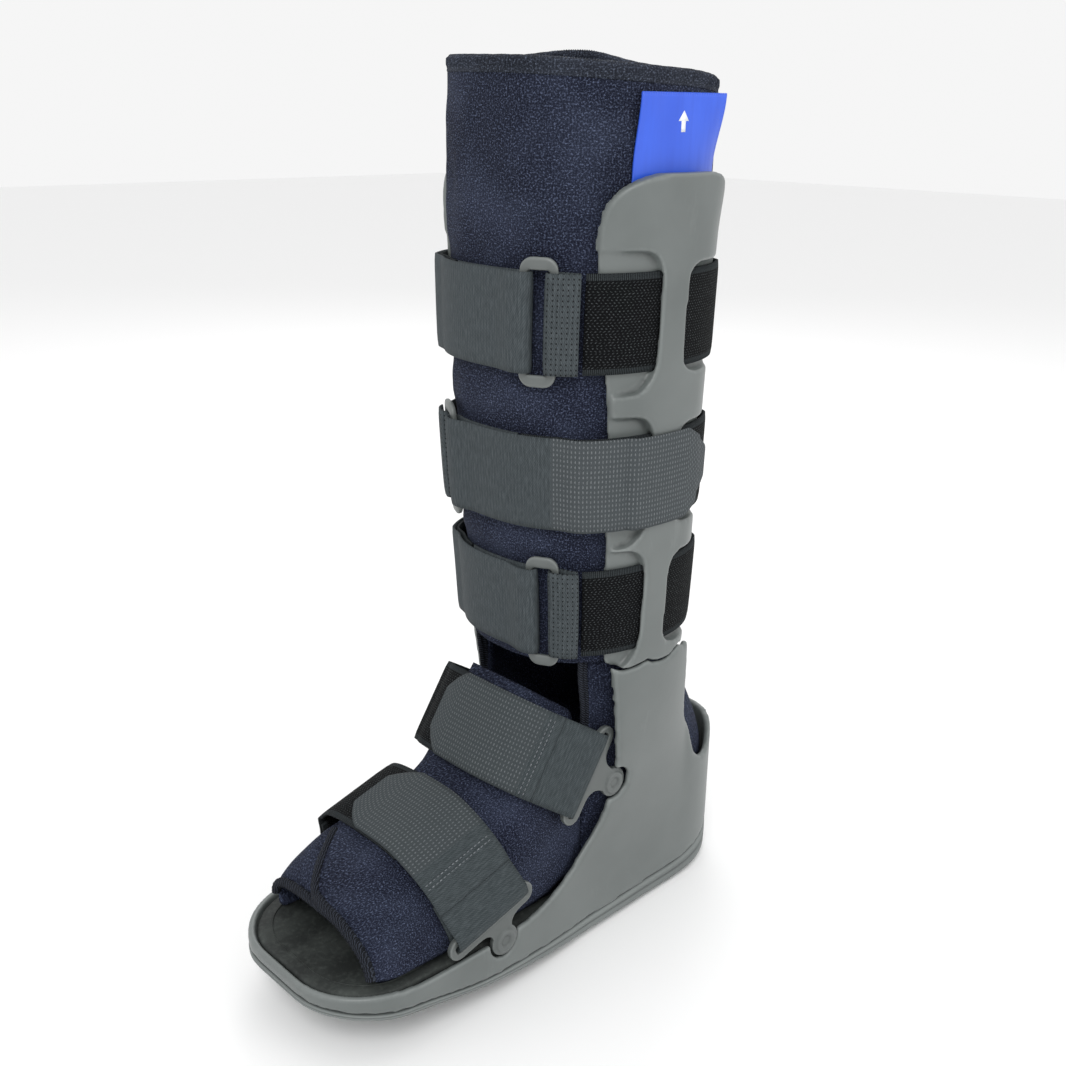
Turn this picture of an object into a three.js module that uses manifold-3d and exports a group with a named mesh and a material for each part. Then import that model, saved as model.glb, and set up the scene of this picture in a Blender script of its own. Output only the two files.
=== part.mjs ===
// A tall medical walking boot: a moulded base shell on a rocker outsole, two side uprights,
// a padded liner, three straps round the leg and two over the foot, held by clips.
// Millimetres, +Z up, toe towards -Y, clips shown on the +X side, origin on the ground
// under the middle of the leg. The boot is the same on both sides apart from its straps.
import * as THREE from 'three';
import { mergeVertices } from 'three/addons/utils/BufferGeometryUtils.js';
import Module from 'manifold-3d';

const wasm = await Module();
wasm.setup();

// Whole boot
const BOOT_HEIGHT = 440;
const TOE_REACH = 189;
const HEEL_REACH = 97;
const FOOT_HALF_WIDTH = 54;
const GAP = 0.4;
// Sole and shell
const TOE_SEAM = 31;
const SOLE_BEVEL = 5;
const FLOOR = 3;
const SHELL_WALL = 3.5;
const TOE_RIM = 39;
const ANKLE_TOP = 157;
const HEEL_RIM = 88;
const INSOLE_TOE = 37.6;
// Leg
const LEG_HALF_WIDTH = 59;
const LEG_HALF_DEPTH = 58.5;
const LEG_WALL = 8;
const BINDING = 1.6;
const BINDING_HEIGHT = 6.5;
// Foot liner
const FOOT_TOP = 142;
const FOOT_WALL = 4;
const FLAP = 2.4;
const FLAP_SEAT = 1.7;
const EDGING = 3.6;
// Uprights
const UPRIGHT_TOP = 393;
const UPRIGHT_HALF = 40;
const PADDLE_FLARE = 2;
const PLATE = 2.4;
const COLUMN_HALF = 8.5;
const COLUMN_LEAN = 0.02;
const COLUMN_WALL = 2.4;
const SEAM_GAP = 0.8;
// Pull sleeves
const SLEEVE = 0.9;
const SLEEVE_WIDTH = 56;
const SLEEVE_MIDDLE = 3;
const SLEEVE_TOP = BOOT_HEIGHT - 14;
const SLEEVE_LENGTH = 78;
// Straps and rings
const STRAP_WIDTH = 45;
const WEB = 1.6;
const PILE = 1.9;
const RING_BAR = 3.6;
const RING_DEEP = 2.8;
const RING_WIDTH = 18;
const RING_HEIGHT = 58;
const STRAP_LOW = [306, 231, 165];
// Clips
const CLIP = 3.2;
const CLIP_BAR = 3.8;
const CLIP_SLOT = 4.4;
const KNOB = 8;
const KNOB_ROOM = 1.2;
const INSTEP_KNOB = [-13, 88];
const TOE_KNOB = [-93, 34];

// Foot sections from toe (-1) to heel (+1): half width, tread, outsole edge and seam height
const FOOT = [
  { at: -1, wide: 0.94, tread: 0.87, edge: 0.92, seam: 1 },
  { at: -0.79, wide: 1, tread: 0.6, edge: 0.75, seam: 0.82 },
  { at: -0.56, wide: 1, tread: 0.32, edge: 0.46, seam: 0.54 },
  { at: -0.32, wide: 0.95, tread: 0.1, edge: 0.26, seam: 0.42 },
  { at: -0.12, wide: 0.87, tread: 0, edge: 0.13, seam: 0.35 },
  { at: 0.4, wide: 0.82, tread: 0, edge: 0.08, seam: 0.35 },
  { at: 0.72, wide: 0.81, tread: 0, edge: 0.15, seam: 0.5 },
  { at: 1, wide: 0.79, tread: 0.15, edge: 0.4, seam: 0.95 },
];
// Insole top along the foot
const INSOLE = [
  { at: -1, top: 1 },
  { at: -0.6, top: 0.92 },
  { at: -0.2, top: 0.84 },
  { at: 1, top: 0.8 },
];
// Top of the foot liner above its insole, toe to instep, and its half width
const INSTEP = [
  { at: -0.857, top: 0.22, wide: 0.96 },
  { at: -0.79, top: 0.32, wide: 0.96 },
  { at: -0.71, top: 0.41, wide: 0.95 },
  { at: -0.6, top: 0.46, wide: 0.95 },
  { at: -0.48, top: 0.52, wide: 0.95 },
  { at: -0.4, top: 0.62, wide: 0.95 },
  { at: -0.33, top: 0.81, wide: 0.96 },
  { at: -0.26, top: 1, wide: 0.95 },
  { at: -0.15, top: 1.3, wide: 0.93 },
];
// Leg sections up the boot: half width, half depth and middle, as shares of the top's
const LEG = [
  { up: 0.34, wide: 0.82, deep: 0.88, mid: 0.07 },
  { up: 0.43, wide: 0.86, deep: 0.91, mid: 0.06 },
  { up: 0.58, wide: 0.91, deep: 0.97, mid: 0.02 },
  { up: 0.75, wide: 0.96, deep: 1, mid: 0 },
  { up: 0.9, wide: 1, deep: 1, mid: 0 },
  { up: 1, wide: 1.01, deep: 1, mid: 0 },
];
// Upright edges, front and rear, as shares of its half width
const UPRIGHT = [
  { up: 0.39, front: 0.56, rear: 0.83 },
  { up: 0.53, front: 0.66, rear: 0.81 },
  { up: 0.72, front: 0.78, rear: 0.82 },
  { up: 0.86, front: 0.93, rear: 0.9 },
  { up: 0.94, front: 1, rear: 0.95 },
  { up: 0.975, front: 0.9, rear: 0.92 },
  { up: 0.993, front: 0.68, rear: 0.72 },
  { up: 1, front: 0.4, rear: 0.42 },
];
// Rim of the leg liner by angle from the +X side: height above the front rim
const RIM = [
  { turn: -180, rise: 0.004 },
  { turn: -90, rise: 0 },
  { turn: 0, rise: -0.01 },
  { turn: 50, rise: -0.017 },
  { turn: 100, rise: 0 },
  { turn: 135, rise: 0.014 },
  { turn: 180, rise: 0.004 },
];
const LEG_ROUND = 2.4;

// Value of a column at a place, on a smooth curve through the rows that never overshoots
function smooth(rows, key, column, at) {
  const last = rows.length - 1;
  if (at <= rows[0][key]) return rows[0][column];
  if (at >= rows[last][key]) return rows[last][column];
  const slope = (j) => (rows[j + 1][column] - rows[j][column]) / (rows[j + 1][key] - rows[j][key]);
  const tangent = (j) => {
    if (j === 0) return slope(0);
    if (j === last) return slope(last - 1);
    const before = slope(j - 1);
    const after = slope(j);
    return before * after <= 0 ? 0 : (2 * before * after) / (before + after);
  };
  let i = 0;
  while (at > rows[i + 1][key]) i += 1;
  const span = rows[i + 1][key] - rows[i][key];
  const t = (at - rows[i][key]) / span;
  const rest = 1 - t;
  return rest * rest * (1 + 2 * t) * rows[i][column] + t * t * (3 - 2 * t) * rows[i + 1][column]
    + span * t * rest * (rest * tangent(i) - t * tangent(i + 1));
}

const mix = THREE.MathUtils.lerp;
const step = THREE.MathUtils.smoothstep;
const radians = THREE.MathUtils.degToRad;

// Merges a geometry's shared points and turns its faces outwards
function closed(geometry) {
  geometry.deleteAttribute('normal');
  geometry.deleteAttribute('uv');
  const merged = mergeVertices(geometry, 1e-4);
  merged.clearGroups();
  const at = merged.attributes.position;
  const corners = [0, 1, 2].map(() => new THREE.Vector3());
  let volume = 0;
  for (let i = 0; i < merged.index.count; i += 3) {
    corners.forEach((corner, k) => corner.fromBufferAttribute(at, merged.index.getX(i + k)));
    volume += corners[0].dot(corners[1].clone().cross(corners[2]));
  }
  if (volume < 0) merged.index.array.reverse();
  return merged;
}

// Moves each point of a geometry by a rule
function warp(geometry, rule) {
  const at = geometry.attributes.position;
  for (let i = 0; i < at.count; i += 1) {
    const p = rule(at.getX(i), at.getY(i), at.getZ(i));
    at.setXYZ(i, p.x, p.y, p.z);
  }
  return closed(geometry);
}

// A box grid whose points are placed by a rule of three shares, each from 0 to 1
function mould(across, along, up, rule) {
  const grid = new THREE.BoxGeometry(1, 1, 1, across, along, up);
  return warp(grid, (x, y, z) => rule(x + 0.5, y + 0.5, z + 0.5));
}

function solid(geometry) {
  return new wasm.Manifold(new wasm.Mesh({
    numProp: 3,
    vertProperties: new Float32Array(geometry.attributes.position.array),
    triVerts: new Uint32Array(geometry.index.array),
  }));
}

function geometryOf(body) {
  const { vertProperties, triVerts } = body.getMesh();
  const geometry = new THREE.BufferGeometry();
  geometry.setAttribute('position', new THREE.BufferAttribute(vertProperties, 3));
  geometry.setIndex(new THREE.BufferAttribute(triVerts, 1));
  return geometry;
}

// The same form on the other side of the boot
function mirrored(geometry) {
  return warp(geometry.clone(), (x, y, z) => new THREE.Vector3(-x, y, z));
}

// A bar through the boot from side to side, whose outline is drawn in the side view
const SIDE_REACH = 2 * FOOT_HALF_WIDTH;
function sideBar(shape) {
  const bar = new THREE.ExtrudeGeometry(shape, {
    depth: 2 * SIDE_REACH, bevelEnabled: false, curveSegments: 5,
  });
  return solid(warp(bar, (a, b, d) => new THREE.Vector3(d - SIDE_REACH, a, b)));
}

const outline = (points) => new THREE.Shape(points.map(([a, b]) => new THREE.Vector2(a, b)));
const share = (y) => (y < 0 ? y / TOE_REACH : y / HEEL_REACH);
const seamHeight = (y) => TOE_SEAM * smooth(FOOT, 'at', 'seam', share(y));
const floorHeight = (y) => seamHeight(y) + GAP + FLOOR;
const insoleHeight = (y) => INSOLE_TOE * smooth(INSOLE, 'at', 'top', share(y));

// Half width of the foot's outline, drawn in by an inset, with its round toe and heel
const TOE_ROUND = { from: 0.8, flat: 0.3, power: 2 };
const HEEL_ROUND = { from: 0.52, flat: 0.12, power: 2.3 };
function halfWidth(y, inset) {
  const wide = FOOT_HALF_WIDTH * smooth(FOOT, 'at', 'wide', share(y)) - inset;
  const [end, size] = y < 0 ? [TOE_ROUND, TOE_REACH] : [HEEL_ROUND, HEEL_REACH];
  const into = (Math.abs(y) - end.from * size) / (size - inset - end.from * size);
  if (into <= 0) return wide;
  const turn = (1 - Math.min(into, 1) ** end.power) ** (1 / end.power);
  return wide * mix(end.flat, 1, turn);
}

// A place along the foot, with closer steps towards both ends
function station(t, inset) {
  const eased = t - (0.7 * Math.sin(2 * Math.PI * t)) / (2 * Math.PI);
  return mix(inset - TOE_REACH, HEEL_REACH - inset, eased);
}

// Point on the leg liner's outer face at an angle, height and distance out from it
function legPoint(angle, z, out) {
  const up = z / BOOT_HEIGHT;
  const wide = LEG_HALF_WIDTH * smooth(LEG, 'up', 'wide', up);
  const deep = LEG_HALF_DEPTH * smooth(LEG, 'up', 'deep', up);
  const mid = LEG_HALF_DEPTH * smooth(LEG, 'up', 'mid', up);
  const c = Math.cos(angle);
  const s = Math.sin(angle);
  const bend = 2 / LEG_ROUND;
  const x = Math.sign(c) * wide * Math.abs(c) ** bend;
  const y = Math.sign(s) * deep * Math.abs(s) ** bend;
  const normal = new THREE.Vector2(
    (Math.sign(c) * Math.abs(c) ** (2 - bend)) / wide,
    (Math.sign(s) * Math.abs(s) ** (2 - bend)) / deep,
  ).normalize();
  return new THREE.Vector3(x + out * normal.x, mid + y + out * normal.y, z);
}

// Distances out from the leg liner of the layers at the uprights
const PLATE_IN = GAP + SLEEVE + GAP;
const PLATE_OUT = PLATE_IN + PLATE;
const SLOT_OUT = PLATE_OUT + GAP + PILE + GAP;
const RAISED_OUT = SLOT_OUT + COLUMN_WALL;

// Half width of the shell: the foot's outline, swelling to carry the uprights at the ankle
function shellHalf(y, z, inset, legOut = RAISED_OUT - inset) {
  const up = ANKLE_TOP / BOOT_HEIGHT;
  const wide = LEG_HALF_WIDTH * smooth(LEG, 'up', 'wide', up) + legOut;
  const deep = LEG_HALF_DEPTH * smooth(LEG, 'up', 'deep', up) + legOut;
  const mid = LEG_HALF_DEPTH * smooth(LEG, 'up', 'mid', up);
  const aside = Math.min(1, Math.abs(y - mid) / deep) ** LEG_ROUND;
  const leg = wide * (1 - aside) ** (1 / LEG_ROUND);
  const foot = halfWidth(y, inset);
  return foot + step(z, TOE_RIM, ANKLE_TOP) * Math.max(0, leg - foot);
}

function outsole() {
  return mould(4, 24, 2, (u, v, w) => {
    const level = Math.round(2 * w);
    const inset = level === 0 ? SOLE_BEVEL : 0;
    const y = station(v, inset);
    const column = ['tread', 'edge', 'seam'][level];
    const z = TOE_SEAM * smooth(FOOT, 'at', column, share(y));
    return new THREE.Vector3((2 * u - 1) * halfWidth(y, inset), y, z);
  });
}

// Side view of the ankle joint, front to rear: where the uprights stand on the shell
const ANKLE_FRONT = -23;
const ANKLE_REAR = 36;
function ankleWave(lift) {
  const dips = [[0, 0.006], [0.14, -0.013], [0.37, -0.003], [0.45, -0.016], [0.62, -0.022],
    [0.8, 0], [0.9, -0.013], [1, -0.008]];
  return dips.map(([at, dip]) => [
    mix(ANKLE_FRONT, ANKLE_REAR, at), ANKLE_TOP * (1 + dip) + lift,
  ]);
}

// Side view of the whole shell, as one outline with its knob notches still filled
function shellOutline() {
  const [knobY, knobZ] = INSTEP_KNOB;
  const lip = knobZ - KNOB - KNOB_ROOM;
  const rise = lip - TOE_RIM;
  return outline([
    [-1.1 * TOE_REACH, -TOE_SEAM],
    [-1.1 * TOE_REACH, TOE_RIM],
    [-0.85 * TOE_REACH, 0.97 * TOE_RIM],
    [-0.72 * TOE_REACH, 0.9 * TOE_RIM],
    [-0.42 * TOE_REACH, 0.92 * TOE_RIM],
    [-0.33 * TOE_REACH, TOE_RIM],
    [-0.24 * TOE_REACH, TOE_RIM + 0.18 * rise],
    [-0.17 * TOE_REACH, TOE_RIM + 0.42 * rise],
    [-0.11 * TOE_REACH, TOE_RIM + 0.72 * rise],
    [knobY - 4, lip],
    [knobY, knobZ],
    [knobY - 1, knobZ + KNOB + KNOB_ROOM],
    ...ankleWave(0),
    [ANKLE_REAR + 3, 0.86 * ANKLE_TOP],
    [0.45 * HEEL_REACH, 0.7 * ANKLE_TOP],
    [0.53 * HEEL_REACH, 1.1 * HEEL_RIM],
    [0.6 * HEEL_REACH, 0.9 * HEEL_RIM],
    [0.68 * HEEL_REACH, 0.82 * HEEL_RIM],
    [0.78 * HEEL_REACH, 0.83 * HEEL_RIM],
    [0.9 * HEEL_REACH, 0.95 * HEEL_RIM],
    [1.1 * HEEL_REACH, HEEL_RIM],
    [1.1 * HEEL_REACH, -TOE_SEAM],
  ]);
}

function knobNotch([y, z]) {
  const notch = new THREE.Shape();
  notch.absarc(y, z, KNOB + KNOB_ROOM, 0, 2 * Math.PI);
  return sideBar(notch);
}

function baseShell() {
  const top = ANKLE_TOP + TOE_RIM;
  const outer = mould(4, 24, 5, (u, v, w) => {
    const y = station(v, 0);
    const z = mix(seamHeight(y) + GAP, top, w);
    return new THREE.Vector3((2 * u - 1) * shellHalf(y, z, 0), y, z);
  });
  const inner = mould(4, 24, 5, (u, v, w) => {
    const y = station(v, SHELL_WALL);
    const z = mix(floorHeight(y), top + GAP, w);
    return new THREE.Vector3((2 * u - 1) * shellHalf(y, z, SHELL_WALL), y, z);
  });
  const body = solid(outer).subtract(solid(inner)).intersect(sideBar(shellOutline()));
  return geometryOf(body.subtract(knobNotch(INSTEP_KNOB)).subtract(knobNotch(TOE_KNOB)));
}

function insole() {
  const inset = SHELL_WALL + 2 * GAP;
  return mould(4, 22, 1, (u, v, w) => {
    const y = station(v, inset);
    const z = w < 0.5 ? floorHeight(y) + GAP : insoleHeight(y);
    return new THREE.Vector3((2 * u - 1) * halfWidth(y, inset), y, z);
  });
}

// A curved sheet on the leg between two distances out, for one side of the boot
function legSheet(turn, low, high, from, toAt, rows) {
  return mould(1, 12, rows, (u, v, w) => {
    const z = mix(low, high, w);
    const flare = PADDLE_FLARE * step(z, 0.92 * UPRIGHT_TOP, UPRIGHT_TOP);
    const degrees = mix(-turn, turn, v);
    return legPoint(radians(degrees), z, mix(from, toAt(degrees), u) + flare);
  });
}

// Side view of an upright, whose foot follows the wave of the shell's top
function uprightOutline() {
  const edge = (column, up) => UPRIGHT_HALF * smooth(UPRIGHT, 'up', column, up);
  const ups = [0.44, 0.53, 0.62, 0.72, 0.8, 0.86, 0.92, 0.955, 0.975, 0.988, 0.996, 1];
  const front = ups.map((up) => [-edge('front', up), up * UPRIGHT_TOP]);
  const rear = ups.map((up) => [edge('rear', up), up * UPRIGHT_TOP]);
  return outline([...ankleWave(SEAM_GAP).reverse(), ...front, ...rear.reverse()]);
}

// Side view of the window beside the column, where a strap passes under it
function bay(low, side) {
  const high = low + STRAP_WIDTH;
  const edge = side * 1.3 * UPRIGHT_HALF;
  const column = side * COLUMN_HALF - COLUMN_LEAN * (low - ANKLE_TOP);
  const round = side * 0.9 * COLUMN_HALF;
  const tall = 0.9 * COLUMN_HALF;
  const [above, below] = side < 0 ? [1.3, 1.6] : [0.4, 0.5];
  const window = new THREE.Shape();
  window.moveTo(edge, high + above * tall);
  window.lineTo(column + 1.2 * round, high + 0.9 * above * tall);
  window.quadraticCurveTo(column, high + 0.7 * above * tall, column, high - tall);
  window.lineTo(column, low + tall);
  window.quadraticCurveTo(column, low - 0.4 * below * tall, column + 1.4 * round, low - 0.8 * below * tall);
  window.lineTo(edge, low - below * tall);
  return sideBar(window);
}

function upright() {
  const turn = 56;
  const low = 0.9 * ANKLE_TOP;
  const high = UPRIGHT_TOP + TOE_RIM;
  const shape = sideBar(uprightOutline());
  const raisedAt = (degrees) => (
    mix(RAISED_OUT, PLATE_OUT + COLUMN_WALL / 2, step(Math.abs(degrees), 12, 34))
  );
  const plate = solid(legSheet(turn, low, high, PLATE_IN, () => PLATE_OUT, 7));
  let raised = solid(legSheet(turn, low, high, PLATE_OUT - GAP / 4, raisedAt, 7));
  STRAP_LOW.forEach((strap) => {
    raised = raised.subtract(bay(strap, 1)).subtract(bay(strap, -1));
    const passage = [strap - 2 * GAP, strap + STRAP_WIDTH + 2 * GAP];
    const tunnel = legSheet(turn + 1, ...passage, PLATE_OUT - GAP, () => SLOT_OUT, 2);
    raised = raised.subtract(solid(tunnel));
  });
  return geometryOf(plate.add(raised).intersect(shape));
}

// A blue slip between liner and upright, flat above the paddle and curved behind it
function pullSleeve() {
  const low = SLEEVE_TOP - SLEEVE_LENGTH;
  return mould(1, 4, 4, (u, v, w) => {
    const z = mix(low, SLEEVE_TOP, w);
    const half = SLEEVE_WIDTH / 2;
    const y = SLEEVE_MIDDLE + mix(-half, half, v);
    const crown = legPoint(0, z, GAP + u * SLEEVE);
    const deep = LEG_HALF_DEPTH * smooth(LEG, 'up', 'deep', z / BOOT_HEIGHT);
    const fall = (1 - (Math.abs(y) / deep) ** LEG_ROUND) ** (1 / LEG_ROUND);
    const flat = step(z, UPRIGHT_TOP, SLEEVE_TOP);
    return new THREE.Vector3(crown.x * mix(fall, 1, flat), y, z);
  });
}

// Height of the leg liner's rim at an angle
function rimHeight(angle) {
  const turn = THREE.MathUtils.euclideanModulo(THREE.MathUtils.radToDeg(angle) + 180, 360) - 180;
  return BOOT_HEIGHT * (1 + smooth(RIM, 'turn', 'rise', turn));
}

// A ring round the leg from a closed profile of rows: [distance out, share of the height
// from low to the rim, drop below it]
const LEG_SIDES = 28;
function legRing(profile, low) {
  const middle = 2 * LEG_WALL;
  const ring = new THREE.LatheGeometry(
    profile.map(([out, up, drop]) => new THREE.Vector2(middle + out, up - drop / BOOT_HEIGHT)),
    LEG_SIDES,
  );
  return warp(ring, (x, up, z) => {
    const angle = Math.atan2(z, x);
    const top = rimHeight(angle);
    const height = up > 0.5 ? top - (1 - up) * BOOT_HEIGHT : mix(low, top, up);
    return legPoint(angle, height, Math.hypot(x, z) - middle);
  });
}

const LINER_LOW = ANKLE_TOP + 2 * SEAM_GAP;
function legLiner() {
  const tuck = BINDING + GAP;
  const shoulder = BINDING_HEIGHT + GAP;
  const levels = [[0, 0], [0.2, 0], [0.49, 0], [1, 0.3 * BOOT_HEIGHT], [1, shoulder]];
  const wall = (out) => levels.map(([up, drop]) => [out, up, drop]);
  return legRing([
    ...wall(0), [-tuck, 1, shoulder], [-tuck, 1, tuck],
    [tuck - LEG_WALL, 1, tuck], [tuck - LEG_WALL, 1, shoulder], ...wall(-LEG_WALL).reverse(),
    [0, 0, 0],
  ], LINER_LOW);
}

// Ribbed elastic folded over the liner's rim, flush with its two faces
function legBinding() {
  const round = 0.7 * BINDING;
  return legRing([
    [0, 1, BINDING_HEIGHT], [0, 1, round], [-round, 1, 0], [round - LEG_WALL, 1, 0],
    [-LEG_WALL, 1, round], [-LEG_WALL, 1, BINDING_HEIGHT], [BINDING - LEG_WALL, 1, BINDING_HEIGHT],
    [BINDING - LEG_WALL, 1, BINDING], [-BINDING, 1, BINDING], [-BINDING, 1, BINDING_HEIGHT],
    [0, 1, BINDING_HEIGHT],
  ], LINER_LOW);
}

// Foot liner form: a point over the foot by turn (0 at the +X side, 1 at the far side),
// place along and distance out
const FAR_ROUND = 3.6;
const NEAR_ROUND = 2.1;
const SIDE_ROOM = SHELL_WALL + GAP + FLAP_SEAT + FLAP;
function footPoint(turn, y, out) {
  const angle = Math.PI * turn;
  const at = share(y);
  const wide = (halfWidth(y, SIDE_ROOM) * smooth(INSTEP, 'at', 'wide', at)) + out;
  const base = insoleHeight(y) + GAP + FOOT_WALL;
  const rise = (place) => (FOOT_TOP - INSOLE_TOE) * smooth(INSTEP, 'at', 'top', share(place));
  const high = rise(y) - FOOT_WALL + out * Math.hypot(1, (rise(y + 1) - rise(y - 1)) / 2);
  const bend = 2 / mix(NEAR_ROUND, FAR_ROUND, step(turn, 0.3, 0.7));
  const c = Math.cos(angle);
  const x = Math.sign(c) * wide * Math.abs(c) ** bend;
  return new THREE.Vector3(x, y, base + high * Math.sin(angle) ** bend);
}

// Lean of the instep strap and of the toe strap: the direction of the strap's width
const INSTEP_LEAN = new THREE.Vector3(0, 0.545, 0.839);
const TOE_LEAN = new THREE.Vector3(0, 0.96, 0.28);

// Point over the foot on the slanting plane at a distance along the strap's lean
function leanPoint(turn, along, lean, out) {
  let front = -0.98 * TOE_REACH;
  let back = -0.02 * TOE_REACH;
  for (let i = 0; i < 30; i += 1) {
    const middle = (front + back) / 2;
    if (footPoint(turn, middle, out).dot(lean) < along) front = middle;
    else back = middle;
  }
  return footPoint(turn, (front + back) / 2, out);
}

const TOE_EDGE = -0.857;
const TONGUE_TOP = 91;
function footLiner() {
  const start = TOE_EDGE * TOE_REACH;
  const end = -0.05 * TOE_REACH;
  const dome = (from, to, out, drop) => mould(10, 12, 1, (u, v, w) => {
    const p = footPoint(1 - u, mix(from, to, v), out);
    if (w < 0.5) p.z = insoleHeight(p.y) + GAP + drop;
    return p;
  });
  const tongueTop = sideBar(outline([
    [-TOE_REACH, 0], [-TOE_REACH, BOOT_HEIGHT / 2],
    [INSTEP_LEAN.z * -1.5 * TONGUE_TOP + INSTEP_LEAN.y * TONGUE_TOP,
      INSTEP_LEAN.y * 1.5 * TONGUE_TOP + INSTEP_LEAN.z * TONGUE_TOP],
    [INSTEP_LEAN.y * TONGUE_TOP, INSTEP_LEAN.z * TONGUE_TOP], [end, 0],
  ]));
  const heel = (inset, front, low, high) => mould(2, 14, 3, (u, v, w) => {
    const full = mix(front, HEEL_REACH - inset, Math.sin((Math.PI / 2) * v));
    const bed = insoleHeight(full) + GAP + low;
    const z = mix(bed, high, w);
    const behind = legPoint(Math.PI / 2, ANKLE_TOP, 0).y - inset + SHELL_WALL + GAP;
    const lean = mix(1, behind / (HEEL_REACH - inset), step(z, 0.4 * ANKLE_TOP, ANKLE_TOP));
    const tuck = FLAP * (1 - step(full, ANKLE_FRONT, ANKLE_FRONT / 2));
    const side = shellHalf(full, z, inset, SHELL_WALL - inset) - tuck;
    return new THREE.Vector3((2 * u - 1) * side, full < 0 ? full : full * lean, z);
  });
  const inset = SHELL_WALL + 4 * GAP;
  const heelTop = LINER_LOW - 2 * GAP;
  const outer = solid(dome(start, end, 0, 0)).intersect(tongueTop)
    .add(solid(heel(inset, ANKLE_FRONT - FLAP, 0, heelTop)));
  const inner = solid(dome(start - FLAP, end, -FOOT_WALL, FOOT_WALL))
    .add(solid(heel(inset + FOOT_WALL, ANKLE_FRONT - FLAP - GAP, FOOT_WALL, heelTop + FLAP)));
  return geometryOf(outer.subtract(inner));
}

// Outer flap over the near side, from inside the shell up over the top of the foot
const FLAP_TURN = 0.62;
function flapFront(turn) {
  const corner = step(turn, 0.72 * FLAP_TURN, FLAP_TURN);
  return mix(TOE_EDGE - 0.01, TOE_EDGE + 0.15, corner ** 2) * TOE_REACH;
}
function flapBack(turn) {
  const back = leanPoint(turn, TONGUE_TOP - FLAP, INSTEP_LEAN, 0).y;
  return Math.min(back, ANKLE_FRONT - 2 * FLAP);
}
function nearFlap() {
  return mould(1, 12, 11, (u, v, w) => {
    const turn = mix(0.01, FLAP_TURN, w);
    const y = mix(flapFront(turn), flapBack(turn), v);
    return footPoint(turn, y, mix(FLAP_SEAT, FLAP_SEAT + FLAP, u));
  });
}

// A ribbon of a thickness between two edge paths; pathAt(share along, 0 or 1) is its middle
function ribbon(steps, thickness, pathAt) {
  const slip = 0.3 / steps;
  return mould(1, steps, 1, (u, v, w) => {
    const here = pathAt(v, w);
    const ahead = pathAt(Math.min(1, v + slip), w).sub(pathAt(Math.max(0, v - slip), w));
    const edge = pathAt(v, 1).sub(pathAt(v, 0));
    const normal = ahead.cross(edge).normalize();
    return here.addScaledVector(normal, (u - 0.5) * thickness);
  });
}

// Reads a route of equal steps at a share of its steps
function readRoute(route, t) {
  const place = t * (route.length - 1);
  const i = Math.min(route.length - 2, Math.floor(place));
  return route[i].map((value, k) => mix(value, route[i + 1][k], place - i));
}

function evenly(from, to, count) {
  return Array.from({ length: count }, (_, i) => mix(from, to, i / (count - 1)));
}

// Half turn of a strap round a bar, as offsets [ahead, out] from the bar's middle
function halfTurn(radius) {
  return evenly(-90, 90, 6).map((degrees) => (
    [radius * Math.cos(radians(degrees)), radius * Math.sin(radians(degrees))]
  ));
}

// Leg straps: a route has rows of [degrees, distance out from the leg liner]
const DEGREES_PER_MM = 180 / (Math.PI * LEG_HALF_WIDTH);
const RING_TURN = Math.hypot(RING_BAR, RING_DEEP) / 2 + GAP + WEB / 2;
function legRibbon(route, low, thickness) {
  return ribbon(route.length - 1, thickness, (t, w) => {
    const [degrees, out] = readRoute(route, t);
    return legPoint(radians(degrees), low + w * STRAP_WIDTH, out);
  });
}

// Distance out of a leg strap's inner face: over the plates at the sides, else on the liner
const aside = (degrees) => Math.abs(THREE.MathUtils.euclideanModulo(degrees + 90, 180) - 90);
const seat = (degrees) => GAP + PLATE_OUT * (1 - step(aside(degrees), 40, 54));

// Loop-faced band round the back of the leg, under both columns
function pileBand(low, from, to) {
  const route = evenly(from, to, 36).map((turn) => [turn, seat(turn) + PILE / 2]);
  return legRibbon(route, low, PILE);
}

// Webbing round the bar of a ring: its inner layer from the start to the bar, its outer one
// from the bar back to the tip, over whatever lies below by the given lift
function webbing(low, { start, bar, tip, lift }) {
  const ahead = Math.sign(bar - start) * DEGREES_PER_MM;
  const inner = (turn) => seat(turn) + WEB / 2;
  const column = RAISED_OUT + GAP + WEB / 2;
  const outer = (turn) => {
    const closing = mix(2 * RING_TURN, lift, step(Math.abs(turn - bar), 2, 16));
    const over = mix(column, 0, step(aside(turn), 15, 30));
    return Math.max(inner(turn) + closing, over);
  };
  const middle = inner(bar) + RING_TURN;
  const rows = (from, to) => 3 + Math.round(Math.abs(to - from) / 6);
  return legRibbon([
    ...evenly(start, bar, rows(start, bar)).slice(0, -1).map((turn) => [turn, inner(turn)]),
    ...halfTurn(RING_TURN).map(([along, out]) => [bar + along * ahead, middle + out]),
    ...evenly(bar, tip, rows(bar, tip)).slice(1).map((turn) => [turn, outer(turn)]),
  ], low, WEB);
}

function roundedFrame(wide, tall, corner) {
  const frame = new THREE.Shape();
  [[1, 1, 0], [-1, 1, 90], [-1, -1, 180], [1, -1, 270]].forEach(([right, up, turn]) => {
    const middle = [right * (wide / 2 - corner), up * (tall / 2 - corner)];
    frame.absarc(...middle, corner, radians(turn), radians(turn + 90));
  });
  return frame;
}

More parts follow.
